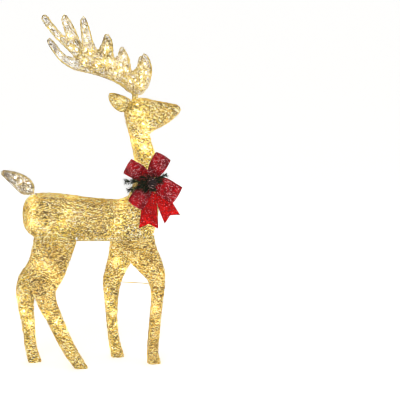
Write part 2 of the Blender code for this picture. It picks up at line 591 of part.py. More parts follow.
# ---------- bodies: an empty on each joint, the pieces parented to it ----------
YS = OUT + GAP + WRAP
BODIES = {
    "torso": ((0.0, 0.0, 0.0), ("torso", "hinge_rod", "neck_socket", "tail_hinge_rod")),
    "neck": ((0.228, 0.0, 0.745), ("neck_wrap", "neck_frame", "neck_light", "neck_plug", "head", "antler_socket", "ear", "bow", "pine")),
    "antler_right": (tuple(antler_place(-1)(0.193, 1.158, 0)), ("antler_right",)),
    "antler_left": (tuple(antler_place(1)(0.193, 1.158, 0)), ("antler_left",)),
    "tail": ((HX, 0.0, HZ), ("tail_wrap", "tail_frame", "tail_light", "tail_hinge_sleeve")),
    "leg_rear_right": ((-0.18, -YS, rod_z(-0.18)), ("leg_rear_right",)),
    "leg_rear_left": ((-0.155, YS, rod_z(-0.155)), ("leg_rear_left",)),
    "leg_front_right": ((0.175, -YS, rod_z(0.175)), ("leg_front_right", "brace_pin")),
    "leg_front_left": ((0.156, YS, rod_z(0.156)), ("leg_front_left",)),
    "brace": (tuple(PIV), ("front_brace",)),
}
root = bpy.data.objects.new("deer", None)
COL.objects.link(root)
root.location = (XOFF, YOFF, 0.0)
for body, (spot, starts) in BODIES.items():
    hub = bpy.data.objects.new("hub_" + body, None)
    COL.objects.link(hub)
    hub.parent = root
    hub.location = spot
    for o in list(COL.objects):
        if o.type == "MESH" and o.parent is None and o.name.startswith(starts):
            o.data.transform(Matrix.Translation(-Vector(spot)))
            o.parent = hub
            o.data.materials.append(look(kind(o.name)))
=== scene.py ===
"""Looks of the lighted yard buck: limbs of glitter thread lit from inside by lamps and a painted glow, and a ribbon
bow.
"""
import math

import bpy
import numpy as np
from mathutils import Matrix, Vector, geometry


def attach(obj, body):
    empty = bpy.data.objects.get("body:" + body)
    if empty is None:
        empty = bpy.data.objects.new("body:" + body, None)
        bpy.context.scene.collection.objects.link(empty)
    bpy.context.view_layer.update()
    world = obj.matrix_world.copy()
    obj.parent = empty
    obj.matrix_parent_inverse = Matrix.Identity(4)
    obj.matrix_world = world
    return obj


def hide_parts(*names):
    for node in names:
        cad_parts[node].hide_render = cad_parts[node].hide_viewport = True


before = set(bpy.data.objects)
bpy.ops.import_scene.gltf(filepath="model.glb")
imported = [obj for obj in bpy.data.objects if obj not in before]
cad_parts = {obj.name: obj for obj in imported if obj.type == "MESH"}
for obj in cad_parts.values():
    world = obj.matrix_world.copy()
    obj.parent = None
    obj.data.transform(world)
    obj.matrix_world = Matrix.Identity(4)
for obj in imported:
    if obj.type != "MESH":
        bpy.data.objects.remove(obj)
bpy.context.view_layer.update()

# Lengths are in metres, unless said otherwise. The tables are drawn in their own frame;
# SHIFT takes them to the part's.
MM = 1000  # per metre
SHIFT = np.array([-0.003, 0.0238, 0.0])
LIFT = 0.0042  # from a frame line to the middle of the thread layer
LEG_LIFT = 0.0034
BELLY, SLOPE = 0.569, -0.0375  # height of the belly line at x = 0, and its slope
GAP, WRAP = 0.0034, 0.0015  # frame to wrap, and the wrap's thickness
OUT = 0.101  # half width of the frame at the legs
HINGE_Y = OUT + GAP + WRAP
NET_DEPTH = 0.0016  # of the net under the threads
ROD_DROP, SLEEVE, PLAY = 0.0062, 0.0036, 0.0022  # hinge rod under the wrap, sleeve radius, room above a leg
LEAN = math.radians(12)  # of each antler, outward
ANTLER_FOOT = (0.193, 1.16)  # x and z of the antlers' feet
EAR_ROOT = 0.166  # x
THREAD, FINE = 0.00105, 0.0008  # radius of a limb's thread and of the thread wound at joints
# A limb's rim, where its faces turn away from the sides, is painted amber as shading.
RIM_FROM, RIM_BAND = 0.62, 0.18  # sideways part of the normal where a limb's rim starts, and how soon it is full
rng = np.random.default_rng(20)


# ---------- meshes from arrays ----------
def mesh_object(name, verts, quads=(), tris=(), attrs=None, smooth=True):
    """An object from vertex and face arrays, with named numbers per vertex for its material."""
    me = bpy.data.meshes.new(name)
    verts = np.ascontiguousarray(verts, np.float32)
    quads, tris = np.reshape(quads, (-1, 4)), np.reshape(tris, (-1, 3))
    me.vertices.add(len(verts))
    me.vertices.foreach_set("co", verts.ravel())
    loops = np.concatenate([quads.ravel(), tris.ravel()]).astype(np.int32)
    me.loops.add(len(loops))
    me.loops.foreach_set("vertex_index", loops)
    starts = np.concatenate([np.arange(len(quads)) * 4, len(quads) * 4 + np.arange(len(tris)) * 3]).astype(np.int32)
    me.polygons.add(len(starts))
    me.polygons.foreach_set("loop_start", starts)
    me.update(calc_edges=True)
    me.validate()
    if smooth:
        me.polygons.foreach_set("use_smooth", np.ones(len(me.polygons), bool))
    for key, values in (attrs or {}).items():
        a = me.attributes.new(key, "FLOAT", "POINT")
        a.data.foreach_set("value", np.ascontiguousarray(values, np.float32))
    o = bpy.data.objects.new(name, me)
    bpy.context.scene.collection.objects.link(o)
    return o


def dressed(o, mat, body, node=None):
    """Gives a piece its material and body, and the CAD node that it stands for."""
    o.data.materials.append(MAT[mat])
    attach(o, body)
    if node:
        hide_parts(node)


def unit(v):
    return v / np.maximum(np.linalg.norm(v, axis=-1, keepdims=True), 1e-12)


def blend(a, b, t):
    return a * (1 - t) + b * t


def tubes(paths, normals, radius, sides=3):
    """Closed thin tubes along many equal-length paths: (verts, quads, tris, index of the path of each vertex)."""
    s, k, _ = paths.shape
    t = unit(np.gradient(paths, axis=1))
    b = unit(np.cross(t, normals))
    n = unit(np.cross(b, t))
    ang = math.pi / 2 + 2 * math.pi * np.arange(sides) / sides
    ring = n[:, :, None, :] * np.sin(ang)[None, None, :, None] + b[:, :, None, :] * np.cos(ang)[None, None, :, None]
    r = np.broadcast_to(np.asarray(radius, float), (s, k))
    v = (paths[:, :, None, :] + ring * r[:, :, None, None]).reshape(-1, 3)
    base = (np.arange(s) * k * sides)[:, None, None] + (np.arange(k - 1) * sides)[None, :, None]
    j = np.arange(sides)[None, None, :]
    j2 = (j + 1) % sides
    quads = np.stack([base + j, base + j2, base + j2 + sides, base + j + sides], -1).reshape(-1, 4)
    caps = []
    for i in range(1, sides - 1):
        first = np.arange(s) * k * sides
        last = first + (k - 1) * sides
        caps.append(np.stack([first, first + i + 1, first + i], -1))
        caps.append(np.stack([last, last + i, last + i + 1], -1))
    return v, quads, np.concatenate(caps), np.repeat(np.arange(s), k * sides)


def grid_quads(rows, columns, closed=False):
    """Faces of a grid of points; closed joins the last column to the first."""
    i, j = np.meshgrid(np.arange(rows - 1), np.arange(columns if closed else columns - 1), indexing="ij")
    j2 = (j + 1) % columns
    this, after = i * columns, (i + 1) * columns
    return np.stack([this + j, this + j2, after + j2, after + j], -1).reshape(-1, 4)


def capped(grid):
    """A closed mesh from rows of points round a limb: (verts, quads, tris), the two caps' middles last."""
    a, m = grid.shape[:2]
    v = np.concatenate([grid.reshape(-1, 3), [grid[0].mean(0)], [grid[-1].mean(0)]])
    k = np.arange(m)
    k2 = (k + 1) % m
    first = np.stack([np.full(m, len(v) - 2), k2, k], -1)
    last = np.stack([np.full(m, len(v) - 1), (a - 1) * m + k, (a - 1) * m + k2], -1)
    return v, grid_quads(a, m, closed=True), np.concatenate([first, last])


def superellipse(count, power):
    """Directions round a limb and the radius at each: (cosine, sine, radius)."""
    a = 2 * math.pi * (np.arange(count) + 0.5) / count
    c, s = np.cos(a), np.sin(a)
    return c, s, (np.abs(c) ** power + np.abs(s) ** power) ** (-1 / power)


# ---------- limb surfaces ----------
def belly(x):
    return BELLY + SLOPE * x


def rod_z(x):
    return belly(x) - GAP - WRAP - ROD_DROP


def leg_top(x):
    return rod_z(x) - SLEEVE - PLAY - GAP - WRAP


def limb(rows):
    """A limb's rows in metres, from mm: x, z on one edge (z None: on the belly), x, z on the other, half width."""
    out = []
    for *row, w in rows:
        px, pz, qx, qz = (None if v is None else v / MM for v in row)
        out.append(((px, belly(px) if pz is None else pz), (qx, qz), w / MM))
    return out


TORSO = limb([
    (-287, 634, -287, 660, 58), (-281, 606, -281, 690, 80), (-268, 587, -268, 716, 91), (-245, None, -245, 734, 96),
    (-200, None, -205, 741, 98), (-150, None, -155, 739, 98), (-80, None, -83, 728, 98), (0, None, -6, 713.5, 98),
    (80, None, 66, 703.5, 98), (160, None, 125, 699.5, 97), (218, None, 158, 705, 96), (250, 566.5, 178, 717, 92),
    (263, 603, 189, 735, 86), (276, 652, 196, 760, 78), (284, 727, 199, 797, 68)])
NECK = limb([
    (285, 735, 200, 805.5, 64), (285.5, 790, 200, 852, 56), (281, 855, 194, 900, 48), (270, 918, 184, 950, 43),
    (256.5, 957, 173, 994, 42), (247.5, 988, 161, 1038, 42)])
HEAD = limb([
    (249, 995, 157.5, 1047.5, 42), (258, 1004, 153, 1088, 44), (273, 1013, 163, 1121, 45), (292, 1021, 193, 1139, 45),
    (312, 1031, 236, 1143, 43), (335, 1045, 290, 1129, 38), (359, 1061, 344, 1117, 32), (379, 1079, 377, 1109, 25),
    (388.5, 1089, 388.5, 1101, 13)])
# Side, and rows in mm: x of the rear edge, x of the front edge, z (none: the top under the belly), half width.
LEGS = {
    "rear_right": (-1, [
        (-262, -88, None, 28), (-270, -100, 515, 28), (-281, -121, 455, 27), (-281, -146, 398, 25),
        (-268, -178, 340, 23), (-252, -175, 296, 22), (-230, -158, 248, 21), (-197, -135, 186, 20),
        (-164, -107, 118, 20), (-131, -75, 56, 20), (-106, -54, 20, 22), (-96, -43, 0, 23)]),
    "rear_left": (1, [
        (-232, -78, None, 28), (-243, -98, 500, 27), (-262, -140, 440, 26), (-296, -186, 392, 24),
        (-311, -221, 350, 22), (-314, -242, 306, 21), (-306, -247, 245, 20), (-293, -245, 170, 20),
        (-283, -240, 95, 20), (-276, -232, 45, 21), (-270, -221, 12, 23), (-268, -219, 0, 23)]),
    "front_left": (1, [
        (103, 208, None, 28), (98, 200, 480, 27), (87, 182, 424, 25), (74, 158, 378, 23), (68, 137, 330, 21),
        (74, 126, 270, 20), (80, 121, 195, 19), (85, 124, 125, 19), (91, 130, 72, 20), (99, 144, 22, 22),
        (101, 148, 0, 23)]),
    "front_right": (-1, [
        (110, 254, None, 28), (128, 266, 500, 28), (159, 287, 448, 26), (192, 296, 412, 24), (225, 299, 378, 23),
        (241, 297, 345, 22), (248, 291, 300, 21), (244, 283, 235, 20), (237, 275, 165, 19), (231, 269, 95, 20),
        (229, 268, 45, 22), (230, 275, 18, 23), (231, 278, 0, 23)]),
}


def leg_rows(tag):
    side, rows = LEGS[tag]
    out = []
    for x0, x1, z, w in rows:
        x0, x1, w = x0 / MM, x1 / MM, w / MM
        ends = [(x, leg_top(x) if z is None else z / MM) for x in (x0, x1)]
        out.append((*ends, w, side * (OUT - w)))
    return out


def catmull(a, per):
    """Smooth rows of numbers through the given ones."""
    a = np.asarray(a, float)
    p = np.concatenate([[2 * a[0] - a[1]], a, [2 * a[-1] - a[-2]]])
    out = []
    for b, c, d, e in zip(p, p[1:], p[2:], p[3:]):
        for k in range(per):
            t = k / per
            square, cube = (2 * b - 5 * c + 4 * d - e) * t * t, (3 * c - b - 3 * d + e) * t ** 3
            out.append(0.5 * (2 * c + (d - b) * t + square + cube))
    out.append(p[-2])
    return np.array(out)


class Skin:
    """A limb's thread surface as a grid of points; rows run along the limb and columns around it."""

    def __init__(self, rows, power, lift, per, around=48, cap_start=True, cap_end=True, floor=False, collar=False):
        rows = [(p[0], p[1], q[0], q[1], w, (y[0] if y else 0.0)) for p, q, w, *y in rows]
        fine = catmull(rows, per)
        c, s, r = superellipse(around, power)
        rings = []
        for px, pz, qx, qz, w, y in fine:
            half = np.array([(qx - px) / 2, (qz - pz) / 2])
            size = np.linalg.norm(half)
            hx, hz = half * (size + lift) / size
            x, z = (px + qx) / 2 + hx * c * r, (pz + qz) / 2 + hz * c * r
            rings.append(np.stack([x, y + (w + lift) * s * r, z], -1))
        rings = np.array(rings)
        mid = rings.mean(1, keepdims=True)

        def shrunk(end, shares):
            return [mid[end] + (rings[end] - mid[end]) * f for f in shares]

        if cap_start:
            rings = np.concatenate([shrunk(0, (0.04, 0.4, 0.72, 0.92)), rings])
        if cap_end:
            rings = np.concatenate([rings, shrunk(-1, (0.92, 0.72, 0.4, 0.04))])
        if collar:
            rings = np.concatenate([rings, shrunk(-1, (0.93, 0.82, 0.7))])
        if floor:
            rings[..., 2] = np.maximum(rings[..., 2], 0.0)
        self.collar = collar
        self.p = rings
        di = np.gradient(rings, axis=0)
        dj = (np.roll(rings, -1, 1) - np.roll(rings, 1, 1)) / 2
        n = unit(np.cross(di, dj))
        if np.mean(np.sum(n * (rings - rings.mean(1, keepdims=True)), -1)) < 0:
            n = -n
        self.n, self.di, self.dj = n, np.linalg.norm(di, axis=-1), np.linalg.norm(dj, axis=-1)

    def at(self, grid, i, j):
        """Bilinear look-up."""
        m = grid.shape[1]
        i = np.clip(i, 0, grid.shape[0] - 1.0001)
        i0, j0 = np.floor(i).astype(int), np.floor(j).astype(int)
        fi, fj = i - i0, j - j0
        j0, j1 = j0 % m, (j0 + 1) % m
        if grid.ndim == 3:
            fi, fj = fi[..., None], fj[..., None]
        return blend(*(blend(grid[k, j0], grid[k, j1], fj) for k in (i0, i0 + 1)), fi)

    def area(self):
        return float((self.di * self.dj).sum())

    def walk(self, total, across, main, steps=14, step=0.009, turn=0.2):
        """Random thread runs of that total length on the surface; that share of them lies about the main angle."""
        count = max(int(total / (steps * step)), 4)
        weight = (self.di * self.dj).ravel()
        start = rng.choice(len(weight), count, p=weight / weight.sum())
        i = (start // self.p.shape[1]).astype(float) + rng.random(count)
        j = (start % self.p.shape[1]).astype(float) + rng.random(count)
        phi = np.where(rng.random(count) < across, rng.normal(main, 0.42, count), rng.uniform(0, math.pi, count))
        phi += math.pi * (rng.random(count) < 0.5)
        pts, nor = [], []
        top = self.p.shape[0] - 1.001
        for _ in range(steps):
            p, n = self.at(self.p, i, j), self.at(self.n, i, j)
            pts.append(p)
            nor.append(n)
            li, lj = np.maximum(self.at(self.di, i, j), 1e-4), np.maximum(self.at(self.dj, i, j), 5e-4)
            phi += rng.normal(0, turn, count)
            i = i + np.clip(step * np.sin(phi) / li, -1.3, 1.3)
            j = j + step * np.cos(phi) / lj
            over = (i < 0) | (i > top)
            phi = np.where(over, -phi, phi)
            i = np.clip(i, 0.0, top)
        return np.stack(pts, 1), unit(np.stack(nor, 1))

    def net(self):
        """The surface as one mesh, open at a collar: (verts, quads, tris)."""
        v, quads, tris = capped(self.p)
        return v, quads, tris[:self.p.shape[1]] if self.collar else tris


# ---------- light strings ----------
def oval(p, q, w, yc=0.0, n=12, power=2.6):
    """One ring of a limb."""
    cx, cz = (p[0] + q[0]) / 2, (p[1] + q[1]) / 2
    ux, uz = (q[0] - p[0]) / 2, (q[1] - p[1]) / 2
    c, s, r = superellipse(n, power)
    return np.stack([cx + ux * c * r, yc + w * s * r, cz + uz * c * r], -1)


def inside(rings, turns, frac, start, end, phase, steps):
    """Spiral through the rings, at that share of their radius."""
    rings = np.array(rings)
    n, m = rings.shape[:2]
    cen = rings.mean(1)
    out = []
    for i in range(steps + 1):
        s = start + (end - start) * i / steps
        f = s * (n - 1)
        k = min(int(f), n - 2)
        c = blend(cen[k], cen[k + 1], f - k)
        a = (phase + turns * s) * m
        j = int(a) % m
        p0, p1 = (blend(ring[j], ring[(j + 1) % m], a - int(a)) for ring in rings[k:k + 2])
        out.append(c + (blend(p0, p1, f - k) - c) * frac)
    return np.array(out)


def along(path, every, first):
    """Lamp places and directions along a cord."""
    seg = np.linalg.norm(np.diff(path, axis=0), axis=1)
    cum = np.concatenate([[0], np.cumsum(seg)])
    marks = np.arange(first, cum[-1] - 0.016, every)
    at = np.stack([np.interp(marks + 0.006, cum, path[:, k]) for k in range(3)], -1)
    to = np.stack([np.interp(marks + 0.012, cum, path[:, k]) for k in range(3)], -1)
    return at, unit(to - at)


lamps = {}  # lamp places by body
# Strength of the painted glow that stands in for the lamps' light on each body's skin.
BOOST = {"neck": 1.6, "leg_front_right": 0.35, "leg_rear_right": 0.75,
         "antler_right": 0.6, "antler_left": 0.6, "tail": 0.5}  # brightness of a body's skin; 1 for the others
CORE, HALO, HALO_SHARE = 0.0125, 0.03, 0.32  # reach of a lamp's core and halo, and the halo's strength
CHUNK = 20000  # points lit at a time


def light_string(body, path, every, first=0.02, per=3, bulb=0.0031):
    """A body's clear cord with warm lamps, in place of the plain CAD one."""
    fine = catmull(path, per) + SHIFT
    at, way = along(fine, every, first)
    n = np.zeros_like(fine) + np.array([0.3, 0.9, 0.2])
    v, q, t, _ = tubes(fine[None], n[None], 0.001, 5)
    cord = mesh_object(body + "_light_cord", v, q, t)
    prof = np.array([(-0.0065, 0.0013), (-0.0045, 0.0024), (-0.001, bulb),
                     (0.003, bulb * 0.95), (0.0055, bulb * 0.55), (0.0066, 0.0006)])  # place along a lamp, radius
    side = unit(np.cross(way, np.array([0.21, 0.37, 0.9])))
    paths = at[:, None, :] + way[:, None, :] * prof[None, :, 0, None]
    v, q, t, _ = tubes(paths, np.repeat(side[:, None], len(prof), 1), np.repeat(prof[None, :, 1], len(at), 0), 7)
    bulbs = mesh_object(body + "_light_lamps", v, q, t)
    dressed(cord, "cord", body, body + "_light_string")
    dressed(bulbs, "lamp", body)
    lamps.setdefault(body, []).append(at)


def glow_at(points, body):
    """Painted glow: how strongly the lamps of one body would light points of its skin, as a number for its emission:
    a small hot core and a wide halo.
    """
    at = np.concatenate(lamps[body])
    out = np.zeros(len(points))
    for k in range(0, len(points), CHUNK):
        d2 = ((points[k:k + CHUNK, None, :] - at[None]) ** 2).sum(2)
        out[k:k + CHUNK] = (np.exp(-d2 / CORE ** 2) + HALO_SHARE * np.exp(-d2 / HALO ** 2)).sum(1)
    return out * BOOST.get(body, 1.0)


# ---------- materials ----------
MAT = {}


class Nodes:
    """Small helper for building node trees."""

    def __init__(self, name):
        self.m = bpy.data.materials.new(name)
        self.m.use_nodes = True
        self.t = self.m.node_tree
        self.b = self.t.nodes["Principled BSDF"]
        MAT[name] = self.m

    def add(self, kind, inputs=None, **props):
        n = self.t.nodes.new(kind)
        for k, v in props.items():
            setattr(n, k, v)
        for k, v in (inputs or {}).items():
            if isinstance(v, bpy.types.NodeSocket):
                self.t.links.new(v, n.inputs[k])
            else:
                n.inputs[k].default_value = v
        return n

    def math(self, op, a, b=0.0, clamp=False):
        return self.add("ShaderNodeMath", {0: a, 1: b}, operation=op, use_clamp=clamp).outputs[0]

    def spread(self, value, middle, gain, clamp=False):
        """(value - middle) * gain"""
        return self.math("MULTIPLY", self.math("SUBTRACT", value, middle), gain, clamp)

    def coord(self):
        return self.add("ShaderNodeTexCoord").outputs["Object"]

    def attr(self, name):
        return self.add("ShaderNodeAttribute", attribute_name=name).outputs["Fac"]

    def noise(self, scale, detail=2.0):
        inputs = {"Scale": scale, "Detail": detail, "Vector": self.coord()}
        return self.add("ShaderNodeTexNoise", inputs).outputs["Fac"]

    def ramp(self, fac, stops):
        n = self.add("ShaderNodeValToRGB", {"Fac": fac})
        e = n.color_ramp.elements
        while len(e) < len(stops):
            e.new(0.5)
        for el, (pos, col) in zip(e, stops):
            el.position = pos
            el.color = (*col, 1.0)
        return n.outputs["Color"]

    def mix(self, fac, a, b):
        a, b = ((*v, 1.0) if isinstance(v, tuple) else v for v in (a, b))
        return self.add("ShaderNodeMix", {0: fac, 6: a, 7: b}, data_type="RGBA").outputs[2]

    def link(self, out, socket):
        self.t.links.new(out, self.b.inputs[socket])

    def set(self, **values):
        for k, v in values.items():
            self.b.inputs[k.replace("_", " ")].default_value = v

    def bump(self, height, strength, distance):
        n = self.add("ShaderNodeBump", {"Strength": strength, "Distance": distance, "Height": height})
        self.link(n.outputs["Normal"], "Normal")


# The pale flecks are painted highlights, the dark ones partly painted shade between threads.
CONTRAST = 1.52  # between a thread's dark and pale flecks


def painted_lamp_glow(n, glow, col, gain, base):
    """Painted glow that stands in for the light of the lamps inside, whiter where it is strongest; base is a painted
    glow all over.
    """
    near = n.spread(glow, 0.35, 1.3, clamp=True)
    n.link(n.mix(near, n.mix(0.4, col, (0.9, 0.78, 0.13)), (0.96, 0.93, 0.46)), "Emission Color")
    n.link(n.math("ADD", n.math("MULTIPLY", glow, gain), base), "Emission Strength")


def flecks(n, size, turn=(0.0, 0.0, 0.0)):
    """Random value per small cell of that size (m), as glints along twisted tinsel: the ramps turn high values into
    painted highlights and low ones into dark flecks, partly painted shade.
    """
    at = n.add("ShaderNodeMapping", {"Vector": n.coord(), "Scale": tuple(1 / v for v in size), "Rotation": turn})
    cell = n.add("ShaderNodeTexVoronoi", {"Scale": 1.0, "Vector": at.outputs[0]})
    return n.add("ShaderNodeSeparateColor", {"Color": cell.outputs["Color"]}).outputs


def amber_share(n):
    """How amber the thread is: most at the rims, as painted shading, and in a few broad patches of random tone."""
    patch = n.spread(n.noise(8), 0.54, 3.2, clamp=True)
    return n.math("ADD", n.attr("edge"), patch, clamp=True)


def thread_color(n, parts, plain, edge):
    """Colour from weighted random parts and a broad drift, on the plain ramp or, where amber, the edge ramp."""
    (a, share_a), (b, share_b) = parts
    t = n.math("ADD", n.math("MULTIPLY", a, share_a), n.math("MULTIPLY", b, share_b))
    t = n.math("ADD", t, n.spread(n.noise(14), 0.5, 0.6))
    t = n.math("ADD", n.spread(t, 0.5, CONTRAST), 0.5, clamp=True)
    col = n.mix(amber_share(n), n.ramp(t, plain), n.ramp(t, edge))
    n.link(col, "Base Color")
    return col


def thread_material(name, plain, edge, gain, base):
    """Glitter thread: brown, gold and pale flecks, the pale ones painted highlights and the darkest partly painted
    shade; rims are more amber, as painted shading; a painted glow from the lamps makes it shine.
    """
    n = Nodes(name)
    cell = flecks(n, (0.0056, 0.0054, 0.004), (0.1, 0.25, 0.1))
    col = thread_color(n, ((n.attr("tone"), 0.34), (cell[0], 0.74)), plain, edge)
    n.set(Metallic=0.2, Roughness=0.42, Specular_IOR_Level=0.3)
    painted_lamp_glow(n, n.attr("glow"), col, gain, base)
    n.bump(n.noise(900, 1.0), 0.5, 0.0006)


def net_material(name, plain, edge, cover, gain, base):
    """Under-layer of crossing threads in the shade of the outer ones, with small gaps between them."""
    n = Nodes(name)
    one, two = flecks(n, (0.0062, 0.0056, 0.0042)), flecks(n, (0.00504, 0.0056, 0.0062), (0.5, 0.7, 0.3))
    col = thread_color(n, ((one[0], 0.86), (two[0], 0.14)), plain, edge)
    n.set(Metallic=0.15, Roughness=0.55)
    n.link(n.math("LESS_THAN", two[1], cover), "Alpha")
    painted_lamp_glow(n, n.attr("glow"), col, gain, base)
    n.bump(n.noise(700), 0.7, 0.001)


# Colour ramps: where along the ramp, and the colour.
# GOLD, AMBER and CHAMP: the pale top stops are painted highlights of the glitter, the darkest stops partly painted
# shade between threads.
GOLD = [(0.0, (0.06, 0.025, 0.02)), (0.2, (0.35, 0.165, 0.07)), (0.36, (0.6, 0.36, 0.09)), (0.5, (0.84, 0.6, 0.06)),
        (0.76, (1.0, 0.83, 0.2)), (0.87, (1.0, 0.93, 0.6)), (1.0, (1.0, 1.0, 0.95))]
AMBER = [(0.0, (0.1, 0.035, 0.02)), (0.22, (0.46, 0.2, 0.08)), (0.4, (0.76, 0.42, 0.06)), (0.68, (1.0, 0.7, 0.08)),
         (1.0, (1.0, 0.96, 0.62))]
CHAMP = [(0.0, (0.05, 0.03, 0.026)), (0.24, (0.23, 0.145, 0.11)), (0.5, (0.44, 0.33, 0.24)),
         (0.78, (0.7, 0.59, 0.45)), (1.0, (0.98, 0.94, 0.86))]
SHADE = [(0.0, (0.04, 0.02, 0.02)), (0.28, (0.25, 0.135, 0.07)), (0.5, (0.6, 0.375, 0.07)),
         (0.75, (0.86, 0.63, 0.1)), (1.0, (1.0, 0.92, 0.55))]
SHADE_AMBER = [(0.0, (0.08, 0.03, 0.015)), (0.35, (0.34, 0.18, 0.06)), (0.65, (0.66, 0.42, 0.1)),
               (1.0, (0.96, 0.78, 0.34))]
NEEDLE = [(0.0, (0.002, 0.003, 0.001)), (0.5, (0.012, 0.016, 0.007)), (0.85, (0.05, 0.065, 0.035)),
          (1.0, (0.8, 0.72, 0.5))]
# CONE: near black for painted shade round the core, pale at the top for painted highlights on the scales' lips.
CONE = [(0.0, (0.006, 0.002, 0.002)), (0.5, (0.055, 0.012, 0.009)), (0.8, (0.11, 0.028, 0.02)),
        (1.0, (1.0, 0.7, 0.62))]
thread_material("thread", GOLD, AMBER, 1.2, 0.16)
thread_material("tip_thread", CHAMP, GOLD, 1.1, 0.05)
net_material("net", SHADE, SHADE_AMBER, 0.9, 1.2, 0.16)
net_material("ear_net", SHADE, SHADE_AMBER, 0.86, 0.9, 0.14)

n = Nodes("cord")
n.set(Base_Color=(0.9, 0.82, 0.58, 1), Roughness=0.25, Transmission_Weight=0.3, IOR=1.45)
n.bump(n.noise(300), 0.2, 0.0004)
n = Nodes("lamp")
n.link(n.mix(n.noise(260), (1.0, 0.8, 0.42), (1.0, 0.93, 0.7)), "Emission Color")
n.set(Base_Color=(1.0, 0.92, 0.7, 1), Roughness=0.2, Emission_Strength=7.0)
n = Nodes("gold_wire")
n.link(n.ramp(n.noise(60, 4), [(0.3, (0.6, 0.41, 0.08)), (0.7, (0.9, 0.72, 0.22))]), "Base Color")
n.link(n.ramp(n.noise(140, 3), [(0.3, (0.28,) * 3), (0.75, (0.5,) * 3)]), "Roughness")
# The wire's faint emission is a painted glow, as if the lamps lit it.
n.set(Metallic=0.6, Emission_Color=(1.0, 0.78, 0.2, 1), Emission_Strength=0.15)
n.bump(n.noise(500), 0.25, 0.0004)
n = Nodes("bare_steel")
n.link(n.ramp(n.noise(80, 4), [(0.3, (0.46, 0.36, 0.18)), (0.7, (0.8, 0.68, 0.42))]), "Base Color")
n.link(n.ramp(n.noise(220, 3), [(0.3, (0.25,) * 3), (0.75, (0.45,) * 3)]), "Roughness")
n.set(Metallic=0.9)


def ribbon_material(name, deep, bright, sparkle, gleam):
    """Glitter mesh ribbon: deep red with dark weave cells, in part painted shade, and pale sparkles in drifts, which
    are painted highlights.
    """
    n = Nodes(name)
    vor = n.add("ShaderNodeTexVoronoi", {"Scale": 380.0, "Vector": n.coord()})
    cell = n.add("ShaderNodeSeparateColor", {"Color": vor.outputs["Color"]})
    drift = n.spread(n.noise(26), 0.36, 3.2, clamp=True)
    body = n.mix(n.spread(n.noise(17), 0.34, 3.0, clamp=True), deep, bright)
    dark = n.math("LESS_THAN", cell.outputs[1], 0.42)
    col = n.mix(n.math("MULTIPLY", dark, 0.85), body, tuple(c * 0.15 for c in deep))
    chance = n.math("ADD", cell.outputs[0], n.math("MULTIPLY", drift, sparkle))
    spark = n.math("GREATER_THAN", chance, 1.0 - 0.5 * sparkle)
    shine = n.math("ADD", n.math("MULTIPLY", cell.outputs[2], gleam), 0.1)
    col = n.mix(n.math("MULTIPLY", spark, shine), col, (0.98, 0.44, 0.48))
    n.link(col, "Base Color")
    n.link(n.math("ADD", n.math("MULTIPLY", cell.outputs[2], 0.35), 0.3), "Roughness")
    n.set(Metallic=0.1, Specular_IOR_Level=0.15)
    n.bump(cell.outputs[0], 0.5, 0.0006)


ribbon_material("ribbon", (0.2, 0.001, 0.006), (0.62, 0.003, 0.008), 0.17, 0.85)
ribbon_material("ribbon_tail", (0.48, 0.001, 0.002), (0.95, 0.004, 0.002), 0.04, 0.8)
n = Nodes("needle")
n.link(n.ramp(n.attr("tone"), NEEDLE), "Base Color")
n.set(Roughness=0.7, Specular_IOR_Level=0.2)
n = Nodes("cone_scale")
n.link(n.ramp(n.attr("tone"), CONE), "Base Color")
n.set(Roughness=0.62)
n.bump(n.noise(260, 3), 0.5, 0.0008)


# ---------- dressing a limb ----------
def tone_values(count, low=0.0):
    """A few dark strands, many gold ones, some pale."""
    kind = rng.random(count)
    dark, gold, pale = (rng.uniform(a, b, count) for a, b in ((0.0, 0.2), (0.36, 0.72), (0.72, 1.0)))
    return np.clip(np.where(kind < 0.16, dark, np.where(kind < 0.74, gold, pale)) + low, 0, 1)


# Share of painted amber shading at a rim, from the sideways part of the normal; warm is the least share.
def rim_shade_share(normals_y, warm):
    return np.clip((RIM_FROM - np.abs(normals_y)) / RIM_BAND, warm, 1)


def put_threads(tag, body, node, pts, nor, mat, radius, jitter, low, warm=0.0, rim=None):
    """One mesh of many threads; rim gives how amber each one is, in place of its normals."""
    count, k = pts.shape[:2]
    tone = tone_values(count, low)
    lift = rng.uniform(-0.0006, jitter, count)[:, None, None] + rng.normal(0, 0.00025, (count, k))[..., None]
    pts = pts + nor * lift
    rad = rng.uniform(0.75, 1.2, count)[:, None] * radius * np.ones(k)[None]
    v, q, t, owner = tubes(pts, nor, rad)
    v = v + SHIFT
    v[:, 2] = np.maximum(v[:, 2], 0.0)
    edge = np.repeat(rim_shade_share(nor[..., 1].ravel(), warm) if rim is None else np.repeat(rim, k), 3)
    attrs = {"tone": tone[owner], "glow": glow_at(v, body), "edge": edge}
    o = mesh_object(tag + "_threads", v, q, t, attrs, smooth=False)
    dressed(o, mat, body, node)


def put_net(tag, body, node, v, q, t, mat, normals_y, warm=0.0):
    v = v + SHIFT
    o = mesh_object(tag + "_net", v, q, t, {"glow": glow_at(v, body), "edge": rim_shade_share(normals_y, warm)})
    dressed(o, mat, body, node)


def dress(tag, body, skin, cover, radius=THREAD, across=0.75, low=0.0, warm=0.0, main=0.0, jitter=0.0012, wrap=True):
    """A net just inside the skin and threads on it, in place of the CAD wrap if there is one; cover is the
    threads' share of the skin."""
    v, q, t = skin.net()
    v[:-2] -= skin.n.reshape(-1, 3) * NET_DEPTH
    ny = np.concatenate([skin.n[..., 1].ravel(), [0, 0]])
    put_net(tag, body, tag + "_wrap" if wrap else None, v, q, t, "net", ny, warm)
    pts, nor = skin.walk(skin.area() * cover / (2 * radius), across, main)
    put_threads(tag, body, None, pts, nor, "thread", radius, jitter, low, warm)


